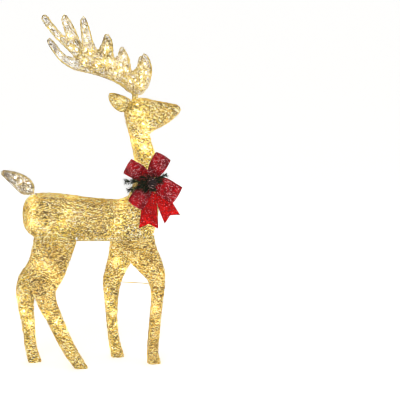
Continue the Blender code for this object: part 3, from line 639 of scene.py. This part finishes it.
def wind(tag, body, rows, power, lift, jitter, per=2, around=16, cover=0.7, warm=0.0):
    """Fine thread wound round a joint."""
    skin = Skin(rows, power, lift, per, around, cap_start=False, cap_end=False)
    dress(tag, body, skin, cover, radius=FINE, jitter=jitter, warm=warm, wrap=False)


def between(a, b, t):
    """Row part of the way from row a to row b."""
    ends = (tuple(blend(x, y, t) for x, y in zip(p, q)) for p, q in zip(a[:2], b[:2]))
    return *ends, blend(a[2], b[2], t)


SQUARE = {"torso": 5.5, "neck": 3.6, "head": 3.0, "leg": 3.8}  # power of each limb's rings

# light strings first, because the skins take their painted glow from the lamps
torso_rings = [oval(p, q, w, n=20, power=SQUARE["torso"]) for p, q, w in TORSO]
neck_rings = [oval(p, q, w, power=SQUARE["neck"]) for p, q, w in NECK]
head_rings = [oval(p, q, w, power=SQUARE["head"]) for p, q, w in HEAD]
torso_run = inside(torso_rings, 4.4, 0.9, 0.12, 0.95, 0.1, 64)
neck_run = np.concatenate([[[0.235, 0.0, 0.785]], inside(neck_rings, 2.4, 0.8, 0.08, 0.98, 0.2, 22),
                           inside(head_rings, 1.6, 0.74, 0.08, 0.66, 0.4, 13)])
light_string("torso", torso_run, 0.062)
light_string("neck", neck_run, 0.052)
for tag in LEGS:
    rings = [oval(p, q, w, y, 12, SQUARE["leg"]) for p, q, w, y in leg_rows(tag)]
    light_string(f"leg_{tag}", inside(rings, 2.6, 0.74, 0.06, 0.9, 0.15, 30), 0.058)

torso_rows = TORSO[:-1] + [between(TORSO[-1], NECK[0], 0.35)]
torso_skin = Skin(torso_rows, SQUARE["torso"], LIFT, per=5, around=72, cap_end=False, collar=True)
dress("torso", "torso", torso_skin, 0.55, across=0.6, main=math.pi / 2)
neck_rows = [between(NECK[0], TORSO[-1], 0.35)] + NECK[1:-1] + [between(NECK[-1], HEAD[0], 0.7)]
neck_skin = Skin(neck_rows, SQUARE["neck"], LIFT, per=5, cap_start=False, cap_end=False)
dress("neck", "neck", neck_skin, 0.6, low=0.06)
dress("head", "neck", Skin(HEAD, SQUARE["head"], LIFT, per=4, cap_start=False), 0.64)


def bar(x0, x1, y, heights, half):
    """Rows of a thin limb along x under the belly, 14 of them."""
    rows = []
    for x in np.linspace(x0, x1, 14):
        low, high = heights(x)
        rows.append(((x, low), (x, high), half, y))
    return rows


# warm: the least share of the rims' painted amber shading on each leg.
for tag, warm in (("rear_right", 0.45), ("rear_left", 0.15), ("front_left", 0.2), ("front_right", 0.8)):
    rows = leg_rows(tag)
    p, q, w, y = rows[0]
    top = ((p[0], p[1] + 0.0038), (q[0], q[1] + 0.0038), w, y)
    leg_skin = Skin([top] + rows, SQUARE["leg"], LEG_LIFT, per=5, around=40, cap_end=False, floor=True)
    leg = f"leg_{tag}"
    dress(leg, leg, leg_skin, 0.6, warm=warm)
    # thread wound round the hinge sleeve, on the hinge axis so that it turns in place
    side = LEGS[tag][0]
    roll = bar(p[0] + 0.006, q[0] - 0.001, side * HINGE_Y, lambda x: (rod_z(x) - 0.0018, rod_z(x) + 0.0018), 0.0018)
    wind(leg + "_hinge", leg, roll, 2.0, 0.0044, 0.0005, warm=warm)
    # thread that closes the groove behind that roll, just inside the hinge line
    back_y = side * (OUT - 0.0055)
    curtain = bar(p[0] + 0.002, q[0] - 0.001, back_y, lambda x: (rod_z(x) - 0.0028, belly(x) + 0.008), 0.001)
    wind(f"edge_{tag}", "torso", curtain, 2.2, 0.0016, 0.0004)
for tag, side, x0, x1 in (("right", -1, -0.0828, 0.1048), ("left", 1, -0.0728, 0.0978)):
    # seam of thread that holds the hinge rod to the belly between the legs
    row = bar(x0, x1, side * HINGE_Y, lambda x: (rod_z(x) + 0.0004, belly(x) + 0.004), 0.0022)
    wind(f"seam_{tag}", "torso", row, 2.2, 0.0022, 0.0004)


# ---------- flat pieces: antlers, ears and tail ----------
# Outlines and the runs of the light strings are in mm.
# A place function turns a point of an outline, and its distance w from the outline's plane, into x, y and z.
def antler_place(side):
    lean_y, lean_z = math.sin(LEAN), math.cos(LEAN)

    def place(u, v, w):
        h = v - ANTLER_FOOT[1]
        y, z = side * (0.03 + h * lean_y), ANTLER_FOOT[1] + h * lean_z
        return np.stack([u, y + w * lean_z, z - side * w * lean_y], -1)
    return place


def ear_place(side):
    def place(u, v, w):
        u = EAR_ROOT - (EAR_ROOT - u) * (0.86 if side > 0 else 1.0)  # the left ear is shorter
        return np.stack([u, side * (0.027 + (EAR_ROOT - u) * 0.1) + w, v], -1)
    return place


def tail_place(u, v, w):
    return np.stack([u, w, v], -1)


ANTLER_R = [
    (214, 1170), (178, 1170), (137, 1206), (71, 1243), (-7, 1270), (-80, 1286), (-116, 1309), (-143, 1330),
    (-175, 1376), (-194, 1408), (-186, 1420), (-169, 1406), (-126, 1347), (-86, 1331), (-60, 1345), (-46, 1402),
    (-57, 1496), (-44, 1512), (-27, 1477), (0, 1388), (16, 1365), (32, 1367), (50, 1430), (62, 1434), (79, 1397),
    (82, 1338), (94, 1321), (111, 1340), (117, 1372), (128, 1376), (149, 1338), (157, 1270), (167, 1262), (195, 1282),
    (213, 1321), (219, 1346), (235, 1332), (251, 1292), (252, 1257), (241, 1206)]
ANTLER_L = [
    (214, 1170), (178, 1170), (140, 1206), (78, 1243), (5, 1272), (-43, 1320), (-84, 1366), (-131, 1414),
    (-160, 1452), (-187, 1494), (-177, 1509), (-161, 1497), (-134, 1455), (-98, 1415), (-82, 1420), (-101, 1490),
    (-91, 1508), (-74, 1492), (-50, 1447), (-30, 1390), (4, 1352), (50, 1345), (78, 1400), (90, 1402), (106, 1375),
    (112, 1322), (128, 1302), (146, 1314), (153, 1344), (165, 1346), (182, 1312), (185, 1262), (196, 1256),
    (214, 1270), (225, 1302), (232, 1324), (246, 1312), (256, 1280), (255, 1252), (241, 1206)]
RUN_R = [
    (206, 1190), (222, 1225), (233, 1285), (226, 1312), (221, 1280), (200, 1228), (165, 1225), (138, 1290),
    (128, 1345), (120, 1338), (120, 1285), (112, 1258), (80, 1290), (66, 1360), (60, 1405), (50, 1365), (50, 1315),
    (30, 1285), (0, 1325), (-28, 1400), (-42, 1480), (-36, 1405), (-30, 1335), (-52, 1303), (-100, 1325),
    (-140, 1352), (-178, 1402)]
RUN_L = [
    (206, 1190), (224, 1225), (240, 1275), (232, 1298), (227, 1265), (205, 1222), (185, 1232), (170, 1280),
    (160, 1322), (153, 1290), (145, 1262), (118, 1272), (100, 1330), (88, 1378), (78, 1345), (60, 1300), (10, 1302),
    (-40, 1350), (-66, 1420), (-88, 1475), (-72, 1400), (-68, 1368), (-105, 1396), (-150, 1450), (-174, 1492)]
EAR = [
    (151, 1124), (166, 1146), (151, 1151), (121, 1160), (95, 1166), (81, 1166), (77, 1156), (79, 1140), (89, 1124),
    (107, 1107), (129, 1095), (142, 1098)]
TAIL = [
    (-253.5, 757), (-252, 784), (-261, 808), (-280, 824), (-308, 838), (-339, 847), (-366, 852), (-381, 848),
    (-379, 839), (-360, 820), (-336, 796), (-310, 767), (-295, 756)]
TAIL_RUN = [
    (-265, 10, 772), (-284, -10, 778), (-272, 8, 798), (-300, -10, 800), (-305, 8, 822), (-335, -6, 826),
    (-362, 0, 841)]


def signed_area(poly):
    """Area of a closed outline, positive if it runs anticlockwise."""
    return 0.5 * np.sum(poly[:, 0] * np.roll(poly[:, 1], -1) - poly[:, 1] * np.roll(poly[:, 0], -1))


def rounded(outline, push):
    """Outline with its corners cut twice and pushed outward, and the outward directions."""
    a = np.array(outline) / MM
    for _ in range(2):
        b = np.roll(a, -1, 0)
        a = np.stack([a * 0.78 + b * 0.22, a * 0.22 + b * 0.78], 1).reshape(-1, 2)
    t = unit(np.roll(a, -1, 0) - np.roll(a, 1, 0))
    n = np.stack([t[:, 1], -t[:, 0]], -1) * np.sign(signed_area(a))
    return a + n * push, n


def in_polygon(pts, poly):
    """Which of the points lie inside the outline."""
    x, y = pts[:, 0], pts[:, 1]
    odd = np.zeros(len(pts), bool)
    for (a, b), (c, d) in zip(poly, np.roll(poly, -1, 0)):
        odd ^= ((b > y) != (d > y)) & (x < (c - a) * (y - b) / (d - b + 1e-15) + a)
    return odd


def rim_distance(p, poly):
    return np.min(np.linalg.norm(poly[None] - p[:, None], axis=2), 1)


def flat_net(poly, half, place):
    """A sheet on each side of the outline, joined round the rim: (verts, quads, tris, sideways normals)."""
    lo, hi = poly.min(0), poly.max(0)
    gx, gy = np.meshgrid(np.arange(lo[0], hi[0], 0.012), np.arange(lo[1], hi[1], 0.012))
    grid = np.stack([gx.ravel(), gy.ravel()], -1) + rng.uniform(-0.002, 0.002, (gx.size, 2))
    grid = grid[in_polygon(grid, poly)]
    points = np.concatenate([poly, grid[rim_distance(grid, poly) > 0.005]])
    m = len(poly)
    edges = [(i, (i + 1) % m) for i in range(m)]
    flat, _, faces, sources, *_ = geometry.delaunay_2d_cdt([Vector(p) for p in points], edges, [], 1, 1e-6)
    flat = np.array([tuple(p) for p in flat])
    first = {o: i for i, source in enumerate(sources) for o in source}
    tri = np.array([f for f in faces if len(f) == 3])
    ring = np.array([first[i] for i in range(m)])
    k = len(flat)
    verts = np.concatenate([place(flat[:, 0], flat[:, 1], np.full(k, w)) for w in (half, -half)])
    a, b, c = (flat[tri[:, i]] for i in range(3))
    ccw = ((b - a)[:, 0] * (c - a)[:, 1] - (b - a)[:, 1] * (c - a)[:, 0]) > 0
    tri = np.where(ccw[:, None], tri, tri[:, ::-1])
    r2 = np.roll(ring, -1)
    quads = np.stack([ring, r2, r2 + k, ring + k], -1)
    if signed_area(poly) < 0:
        quads = quads[:, ::-1]
    ny = np.ones(len(verts))
    ny[ring] = ny[ring + k] = 0.5
    return verts, quads, np.concatenate([tri[:, ::-1], tri + k]), ny


def flat_piece(tag, body, outline, half, place, cover, mat, low, gold, net=None, push=0.0034, sparse=1.0, root=0.0):
    """Threads over a flat piece, on a net if it has one. sparse thins them out in the narrow branches; they are
    golden deep inside the outline and below the root height."""
    node, radius, step, seg = tag + "_wrap", 0.0009, 0.007, 9
    poly, nrm = rounded(outline, push)
    half = half + push
    lo, hi = poly.min(0), poly.max(0)
    if net:
        v, quads, tris, ny = flat_net(poly, half, place)
        put_net(tag, body, node, v, quads, tris, net, ny)
    zero = place(0.0, 0.0, 0.0)
    e1, e2, across = (unit(place(*axis) - zero) for axis in np.eye(3))

    def depth(p):
        """0 in the narrow branches to 1 deep inside the outline."""
        return np.clip((rim_distance(p, poly) - 0.011) / 0.016, 0, 1)

    # threads on both faces
    paths, norms, rims, lows = [], [], [], []
    for sgn in (1, -1):
        count = int(abs(signed_area(poly)) * cover / (2 * radius) / (seg * step))
        start = []
        while len(start) < count:
            c = rng.uniform(lo, hi, (count * 3, 2))
            c = c[in_polygon(c, poly)]
            c = c[rng.random(len(c)) < sparse + (1 - sparse) * depth(c)]
            start.extend(c[: count - len(start)])
        p = np.array(start)
        ang = rng.uniform(0, 2 * math.pi, count)
        run = []
        rims.append(gold * np.maximum(depth(p), np.clip((root - p[:, 1]) / 0.05, 0, 1)))
        lows.append(np.full(count, low))
        for _ in range(seg):
            run.append(p.copy())
            ang = ang + rng.normal(0, 0.35, count)
            nxt = p + step * np.stack([np.cos(ang), np.sin(ang)], -1)
            ok = in_polygon(nxt, poly)
            ang = np.where(ok, ang, ang + math.pi * 0.8)
            alt = p + step * np.stack([np.cos(ang), np.sin(ang)], -1)
            p = np.where(ok[:, None], nxt, np.where(in_polygon(alt, poly)[:, None], alt, p + (p - nxt) * 0.4))
        run = np.stack(run, 1)
        paths.append(place(run[..., 0], run[..., 1], np.full(run.shape[:2], sgn * half)))
        norms.append(np.broadcast_to(across * sgn, paths[-1].shape))
    # threads across the rim
    cum = np.concatenate([[0], np.cumsum(np.linalg.norm(np.roll(poly, -1, 0) - poly, axis=1))])
    closed, cn = np.concatenate([poly, poly[:1]]), np.concatenate([nrm, nrm[:1]])
    count = int(cum[-1] * 2 * half * cover * 1.25 / (2 * radius) / (2 * half + 0.012))
    s0 = rng.uniform(0, cum[-1], count)
    slant = rng.normal(0, 0.01, count)
    f = np.linspace(0, 1, seg)
    s = (s0[:, None] + slant[:, None] * f[None]) % cum[-1]
    (u, nu), (h, nh) = ((np.interp(s, cum, closed[:, i]), np.interp(s, cum, cn[:, i])) for i in (0, 1))
    bulge = 0.0006 * np.sin(math.pi * f)[None]
    paths.append(place(u + nu * bulge, h + nh * bulge, half * np.cos(math.pi * f)[None] * np.ones((count, 1))))
    norms.append(unit(nu[..., None] * e1 + nh[..., None] * e2))
    rims.append(np.full(count, gold * 0.35))
    lows.append(np.full(count, low - 0.1))
    pts, nor, rim, low = (np.concatenate(part) for part in (paths, norms, rims, lows))
    put_threads(tag, body, None if net else node, pts, nor, mat, radius, 0.0008, low, rim=rim)


for tag, side, outline, run in (("right", -1, ANTLER_R, RUN_R), ("left", 1, ANTLER_L, RUN_L)):
    place, r, antler = antler_place(side), np.array(run) / MM, f"antler_{tag}"
    # gold thread wound round the socket that the antler plugs into
    stem = []
    foot_x, foot_z = ANTLER_FOOT
    for h, wide in ((-0.03, 0.0105), (-0.018, 0.0085), (-0.006, 0.0075), (0.006, 0.007)):
        _, y, z = place(foot_x, foot_z + h, 0.0)
        stem.append(((foot_x + wide, z), (foot_x - wide, z), wide * 0.85, y))
    wind(f"stem_{tag}", "neck", stem, 2.0, 0.0, 0.0005, 4, 20, 0.8)
    light_string(antler, place(r[:, 0], r[:, 1], np.zeros(len(r))), 0.06, first=0.012, per=4, bulb=0.0029)
    flat_piece(antler, antler, outline, 0.0085, place, 0.7, "tip_thread", -0.26, 1.2,
               push=0.0022, sparse=0.7, root=1.27)
    flat_piece(f"ear_{tag}", "neck", EAR, 0.0055, ear_place(side), 0.7, "thread", -0.1, 1.0,
               "ear_net", push=0.0024)
light_string("tail", np.array(TAIL_RUN) / MM, 0.045, first=0.008, per=5)
flat_piece("tail", "tail", TAIL, 0.02, tail_place, 0.9, "tip_thread", -0.36, 0.9)


# ---------- bow ----------
KNOT = np.array([0.236, -0.1, 0.812])
RIBBON = 0.0009  # thickness
ACROSS = 13  # points across a ribbon


def strip(node, rows, mat):
    """A ribbon as a closed thin sheet; rows[i] holds the points across it."""
    rows = np.array(rows)
    a, m, _ = rows.shape
    nn = unit(np.cross(np.gradient(rows, axis=0), np.gradient(rows, axis=1))) * RIBBON / 2
    v = np.concatenate([(rows + nn).reshape(-1, 3), (rows - nn).reshape(-1, 3)]) + SHIFT
    q = grid_quads(a, m)
    k = a * m
    rim = [(i * m, (i + 1) * m) for i in range(a - 1)]
    rim += [((a - 1) * m + j, (a - 1) * m + j + 1) for j in range(m - 1)]
    rim += [((i + 1) * m + m - 1, i * m + m - 1) for i in range(a - 1)] + [(j + 1, j) for j in range(m - 1)]
    quads = np.concatenate([q[:, ::-1], q + k, [(x, y, y + k, x + k) for x, y in rim]])
    o = mesh_object(node + "_ribbon", v, quads)
    dressed(o, mat, "neck", node)


def ribbon_loop(d, length, width, seed, bulge=0.013, pinch=0.74, first=0.016):
    """Rows of a loop that goes out from the knot along d and comes back; pinch is its width at the knot."""
    d = unit(np.array(d, float))
    w = unit(np.cross(d, [0, 1, 0]))
    nrm = unit(np.cross(w, d))
    g = np.random.default_rng(seed)
    steps = 44
    ph = g.uniform(0, 6.28, 3)
    e = np.linspace(-1, 1, ACROSS)
    rows = []
    for k in range(steps + 1):
        a = -math.pi + 2 * math.pi * (k + 0.35) / (steps + 0.7)
        s = (1 + math.cos(a)) / 2
        h = bulge * math.sin(a) * (0.35 + 0.65 * s)
        out = length * s ** 0.8
        half = width / 2 * (pinch + (1 - pinch) * min(1.0, out / (0.42 * length)))
        fold = (0.003 * (1 - s) * np.cos(5.0 * e + ph[0]) + 0.0012 * np.sin(4 * e + 9 * s + ph[1])
                + 0.0008 * np.sin(11 * s + 7 * e + ph[2]))
        reach = first + out - 0.004 * e[:, None] ** 2 * s
        rows.append(KNOT + d * reach + nrm * (h + fold[:, None]) + w * (half * e[:, None]))
    return np.array(rows)


def sheet_area(rows):
    du, dv = np.diff(rows, axis=0)[:, :-1], np.diff(rows, axis=1)[:-1]
    return float(np.linalg.norm(np.cross(du, dv), axis=-1).sum())


for name, d, length, width, seed in (
        ("upper_left", (-0.86, 0.03, 0.51), 0.102, 0.07, 3),
        ("upper_right", (0.52, 0.03, 0.855), 0.1, 0.072, 4),
        ("lower_left", (-0.56, -0.32, -0.77), 0.124, 0.073, 5),
        ("lower_right", (0.82, -0.22, -0.53), 0.122, 0.083, 6)):
    rows = ribbon_loop(d, length, width, seed)
    area = sheet_area(rows)
    strip("bow_loop_" + name, rows, "ribbon")


def ribbon_tail(pts, widths, notch, seed):
    """Rows of a hanging end with a V cut of that depth."""
    c = catmull(pts, 10)
    wd = catmull([[x, 0] for x in widths], 10)[:, 0]
    g = np.random.default_rng(seed)
    ph = g.uniform(0, 6.28, 2)
    e = np.linspace(-1, 1, ACROSS)
    rows = []
    t = unit(np.gradient(c, axis=0))
    for i in range(len(c)):
        w = unit(np.cross(t[i], [0, 1, 0]))
        nn = unit(np.cross(w, t[i]))
        f = i / (len(c) - 1)
        cut = notch * (1 - np.abs(e)) * f ** 6
        wave = 0.0016 * np.sin(7 * f + 3 * e + ph[0]) * (0.4 + f) + 0.001 * np.cos(6 * e + ph[1])
        rows.append(c[i] + w * (wd[i] * e[:, None]) - t[i] * cut[:, None] + nn * wave[:, None])
    return np.array(rows)


for name, pts, widths, length, seed in (
        ("left", [(0.224, -0.1055, 0.758), (0.229, -0.107, 0.725), (0.229, -0.108, 0.68), (0.225, -0.1085, 0.6)],
         [0.026, 0.031, 0.035, 0.042], 0.17, 8),
        ("right", [(0.274, -0.1035, 0.758), (0.287, -0.1055, 0.725), (0.303, -0.107, 0.69), (0.33, -0.108, 0.636)],
         [0.02, 0.028, 0.033, 0.038], 0.145, 9)):
    rows = ribbon_tail(pts, widths, 0.02, seed)
    width = 2 * widths[-1]
    area = min(sheet_area(rows), width * length)
    strip("bow_tail_" + name, rows, "ribbon_tail")

# ribbon round the knot: a lumpy gathered roll
lon, lat = 26, 15
th, ph = np.meshgrid(np.linspace(0, 2 * math.pi, lon, endpoint=False), np.linspace(-1, 1, lat), indexing="xy")
r = 0.0185 * np.sqrt(np.clip(1 - np.abs(ph) ** 4, 0.02, 1)) * (1 + 0.08 * np.cos(6 * th + 2 * ph))
v, q, t = capped(np.stack([KNOT[0] + r * np.cos(th), -0.1015 + 0.0165 * ph, KNOT[2] + 1.1 * r * np.sin(th)], -1))
dressed(mesh_object("bow_knot_wrap", v + SHIFT, q[:, ::-1], t[:, ::-1]), "ribbon", "neck", "bow_knot")

# pinecone: scales in a spiral round a dark core, so that no light shows between them; the core's near black is
# painted shade
PC = np.array([0.2335, -0.1465, 0.7995])
GOLDEN = 2.399963  # golden angle between one scale and the next
SCALES, SIDES = 44, 14
verts, faces, tone = [], [], []
for k in range(SIDES):
    for z0, z1 in ((-0.019, -0.008), (-0.008, 0.004), (0.004, 0.016), (0.016, 0.022)):
        s = len(verts)
        for z in (z0, z1):
            r = 0.0145 * math.sqrt(max(1 - ((z - 0.001) / 0.0225) ** 2, 0.02))
            for m in (k, k + 1):
                a = 2 * math.pi * m / SIDES
                verts.append(PC + np.array([r * math.cos(a), 0.8 * r * math.sin(a), z]))
        tone += [0.0] * 4
        faces += [(s, s + 1, s + 3), (s, s + 3, s + 2)]
lips = np.random.default_rng(21)
for k in range(SCALES):
    f = (k + 0.5) / SCALES
    lip = lips.choice([1.0, 0.95, 0.62, 0.5])
    z = -0.02 + 0.042 * f
    r = 0.0168 * math.sin(math.pi * (0.08 + 0.84 * f)) ** 0.85
    a = GOLDEN * k
    out = np.array([math.cos(a), 0.8 * math.sin(a), 0.0])
    side = np.array([-math.sin(a), 0.8 * math.cos(a), 0.0]) * 0.0056 * (0.6 + 0.4 * math.sin(math.pi * f))
    up = np.array([0, 0, 1.0])
    lean = 0.0045 * (2 * f - 1)
    # scale: a wedge that widens outward and ends in a pale blunt lip; its tone runs from painted shade near the core
    # to a painted highlight on the lip, with its underside painted darker
    ring = []
    for reach, half, low, high, shade in ((0.35, 0.4, -0.0012, 0.0014, 0.15), (0.95, 0.9, -0.0012, 0.002, 0.45),
                                          (1.24, 1.0, -0.0004, 0.0024, 0.8), (1.34, 0.8, 0.0002, 0.0022, 1.0)):
        c = PC + out * r * reach + up * (z + lean * (reach - 0.35))
        ring.append(len(verts))
        verts += [c + side * half * w + up * h for w, h in ((-1, low), (1, low), (0.7, high), (-0.7, high))]
        tone += [shade * 0.8 * lip] * 2 + [shade * lip] * 2
    for s, e in zip(ring, ring[1:]):
        for m in range(4):
            o = (m + 1) % 4
            faces += [(s + m, e + m, e + o), (s + m, e + o, s + o)]
    s, e = ring[0], ring[-1]
    faces += [(s, s + 1, s + 2), (s, s + 2, s + 3), (e, e + 2, e + 1), (e, e + 3, e + 2)]
cone = mesh_object("pinecone_scales", np.array(verts) + SHIFT, (), faces, {"tone": tone}, smooth=False)
dressed(cone, "cone_scale", "neck", "pinecone")


def sprig(tag, branches, y, length, seed):
    """Sprays of needles along twigs: (base, tip, count), with x and z in mm."""
    g = np.random.default_rng(seed)
    every, k = [], 5
    s = np.linspace(0, 1, k)
    sag = np.array([0, 0, -0.0025]) * (s ** 2)[None, :, None]
    for base, tip, count in branches:
        base, tip = (np.array([x / MM, y, z / MM]) for x, z in (base, tip))
        d = unit(tip - base)
        f = g.uniform(-0.08, 0.88, count)
        root = base + (tip - base) * f[:, None] + g.normal(0, 0.0012, (count, 3)) * [1, 0.5, 1]
        ang = g.uniform(0, 2 * math.pi, count)
        u = unit(np.cross(d, [0, 1, 0]))
        w = unit(np.cross(u, d))
        out = u * np.cos(ang)[:, None] + w * (0.3 * np.sin(ang))[:, None]
        direction = unit(d * g.uniform(0.25, 1.1, count)[:, None] + out)
        ln = length * g.uniform(0.55, 1.1, count) * (1 - 0.35 * np.clip(f, 0, 1))
        every.append(root[:, None] + direction[:, None] * (ln[:, None] * s)[..., None] + sag)
    paths = np.concatenate(every)
    count = len(paths)
    rad = 0.0009 * (1.02 - s ** 2 * 0.9)[None] * np.ones((count, 1))
    v, q, t, _ = tubes(paths, np.broadcast_to(np.array([0.1, 1.0, 0.05]), paths.shape), rad)
    shade = g.uniform(0.05, 0.85, count)[:, None]
    shade = shade + (s[None] > 0.8) * (g.random((count, 1)) < 0.16) * 0.9  # a few pale tips
    v[:, 1] = np.clip(v[:, 1], y - 0.01, y + 0.01)
    tone = np.clip(np.repeat(shade.ravel(), 3), 0, 1)
    o = mesh_object(f"sprig_{tag}_needles", v + SHIFT, q, t, {"tone": tone}, smooth=False)
    dressed(o, "needle", "neck", "pine_sprig_" + tag)


left_twigs = [((228, 806), (106, 812), 230), ((220, 796), (122, 770), 200), ((244, 818), (180, 830), 90),
              ((236, 790), (196, 770), 90)]
right_twigs = [((240, 808), (304, 836), 200), ((250, 800), (282, 808), 80), ((246, 784), (244, 768), 70)]
sprig("left", left_twigs, -0.133, 0.031, 31)
sprig("right", right_twigs, -0.131, 0.022, 32)

# ---------- CAD nodes that show as they are ----------
for name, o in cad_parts.items():
    key = "gold_wire" if name.endswith("_frame") or "brace" in name else "bare_steel"
    o.data.materials.clear()
    o.data.materials.append(MAT[key])

# ---------- floor, light, camera ----------
FLOOR, UNDER = 70, 0.0002  # half size of the floor, and how far below z = 0 it lies
corners = [(x * FLOOR, y * FLOOR, -UNDER) for x, y in ((-1, -1), (1, -1), (1, 1), (-1, 1))]
floor = mesh_object("floor", np.array(corners), [(0, 1, 2, 3)])
n = Nodes("floor")
n.set(Base_Color=(0.93, 0.93, 0.92, 1), Roughness=0.7, Emission_Color=(1, 1, 1, 1), Emission_Strength=0.42)
floor.data.materials.append(MAT["floor"])

world = bpy.data.worlds.new("studio")
world.use_nodes = True
sky = world.node_tree.nodes["Background"].inputs
sky["Color"].default_value, sky["Strength"].default_value = (1.0, 0.995, 0.985, 1), 0.62
bpy.context.scene.world = world


def aimed(name, data, where, way):
    """A lamp or camera at a place, looking that way."""
    o = bpy.data.objects.new(name, data)
    o.location = where
    o.rotation_mode = "QUATERNION"
    o.rotation_quaternion = Vector(way).to_track_quat("-Z", "Y")
    bpy.context.scene.collection.objects.link(o)
    return o


for name, where, size, power in (("key", (-1.6, -3.4, 3.2), 2.2, 48), ("fill", (3.2, -2.6, 1.8), 2.6, 16)):
    data = bpy.data.lights.new(name, "AREA")
    data.size, data.energy = size, power
    aimed(name, data, where, Vector((0, 0, 0.8)) - Vector(where))

AZ, EL, DIST = math.radians(-14.5), math.radians(9.5), 8.0
SENSOR, VIEW = 36.0, 400.0 / 230.0  # sensor (mm) and the width of the view (m) at the target
target = np.array([0.48, 0.0, 0.695]) + SHIFT
back = np.array([math.sin(AZ) * math.cos(EL), -math.cos(AZ) * math.cos(EL), math.sin(EL)])
data = bpy.data.cameras.new("camera")
data.sensor_width = SENSOR
data.lens = SENSOR * DIST / VIEW
data.clip_end = 200.0
bpy.context.scene.camera = aimed("camera", data, target + DIST * back, -back)
bpy.context.scene.view_settings.view_transform = "Standard"
bpy.context.scene.cycles.filter_width = 0.9
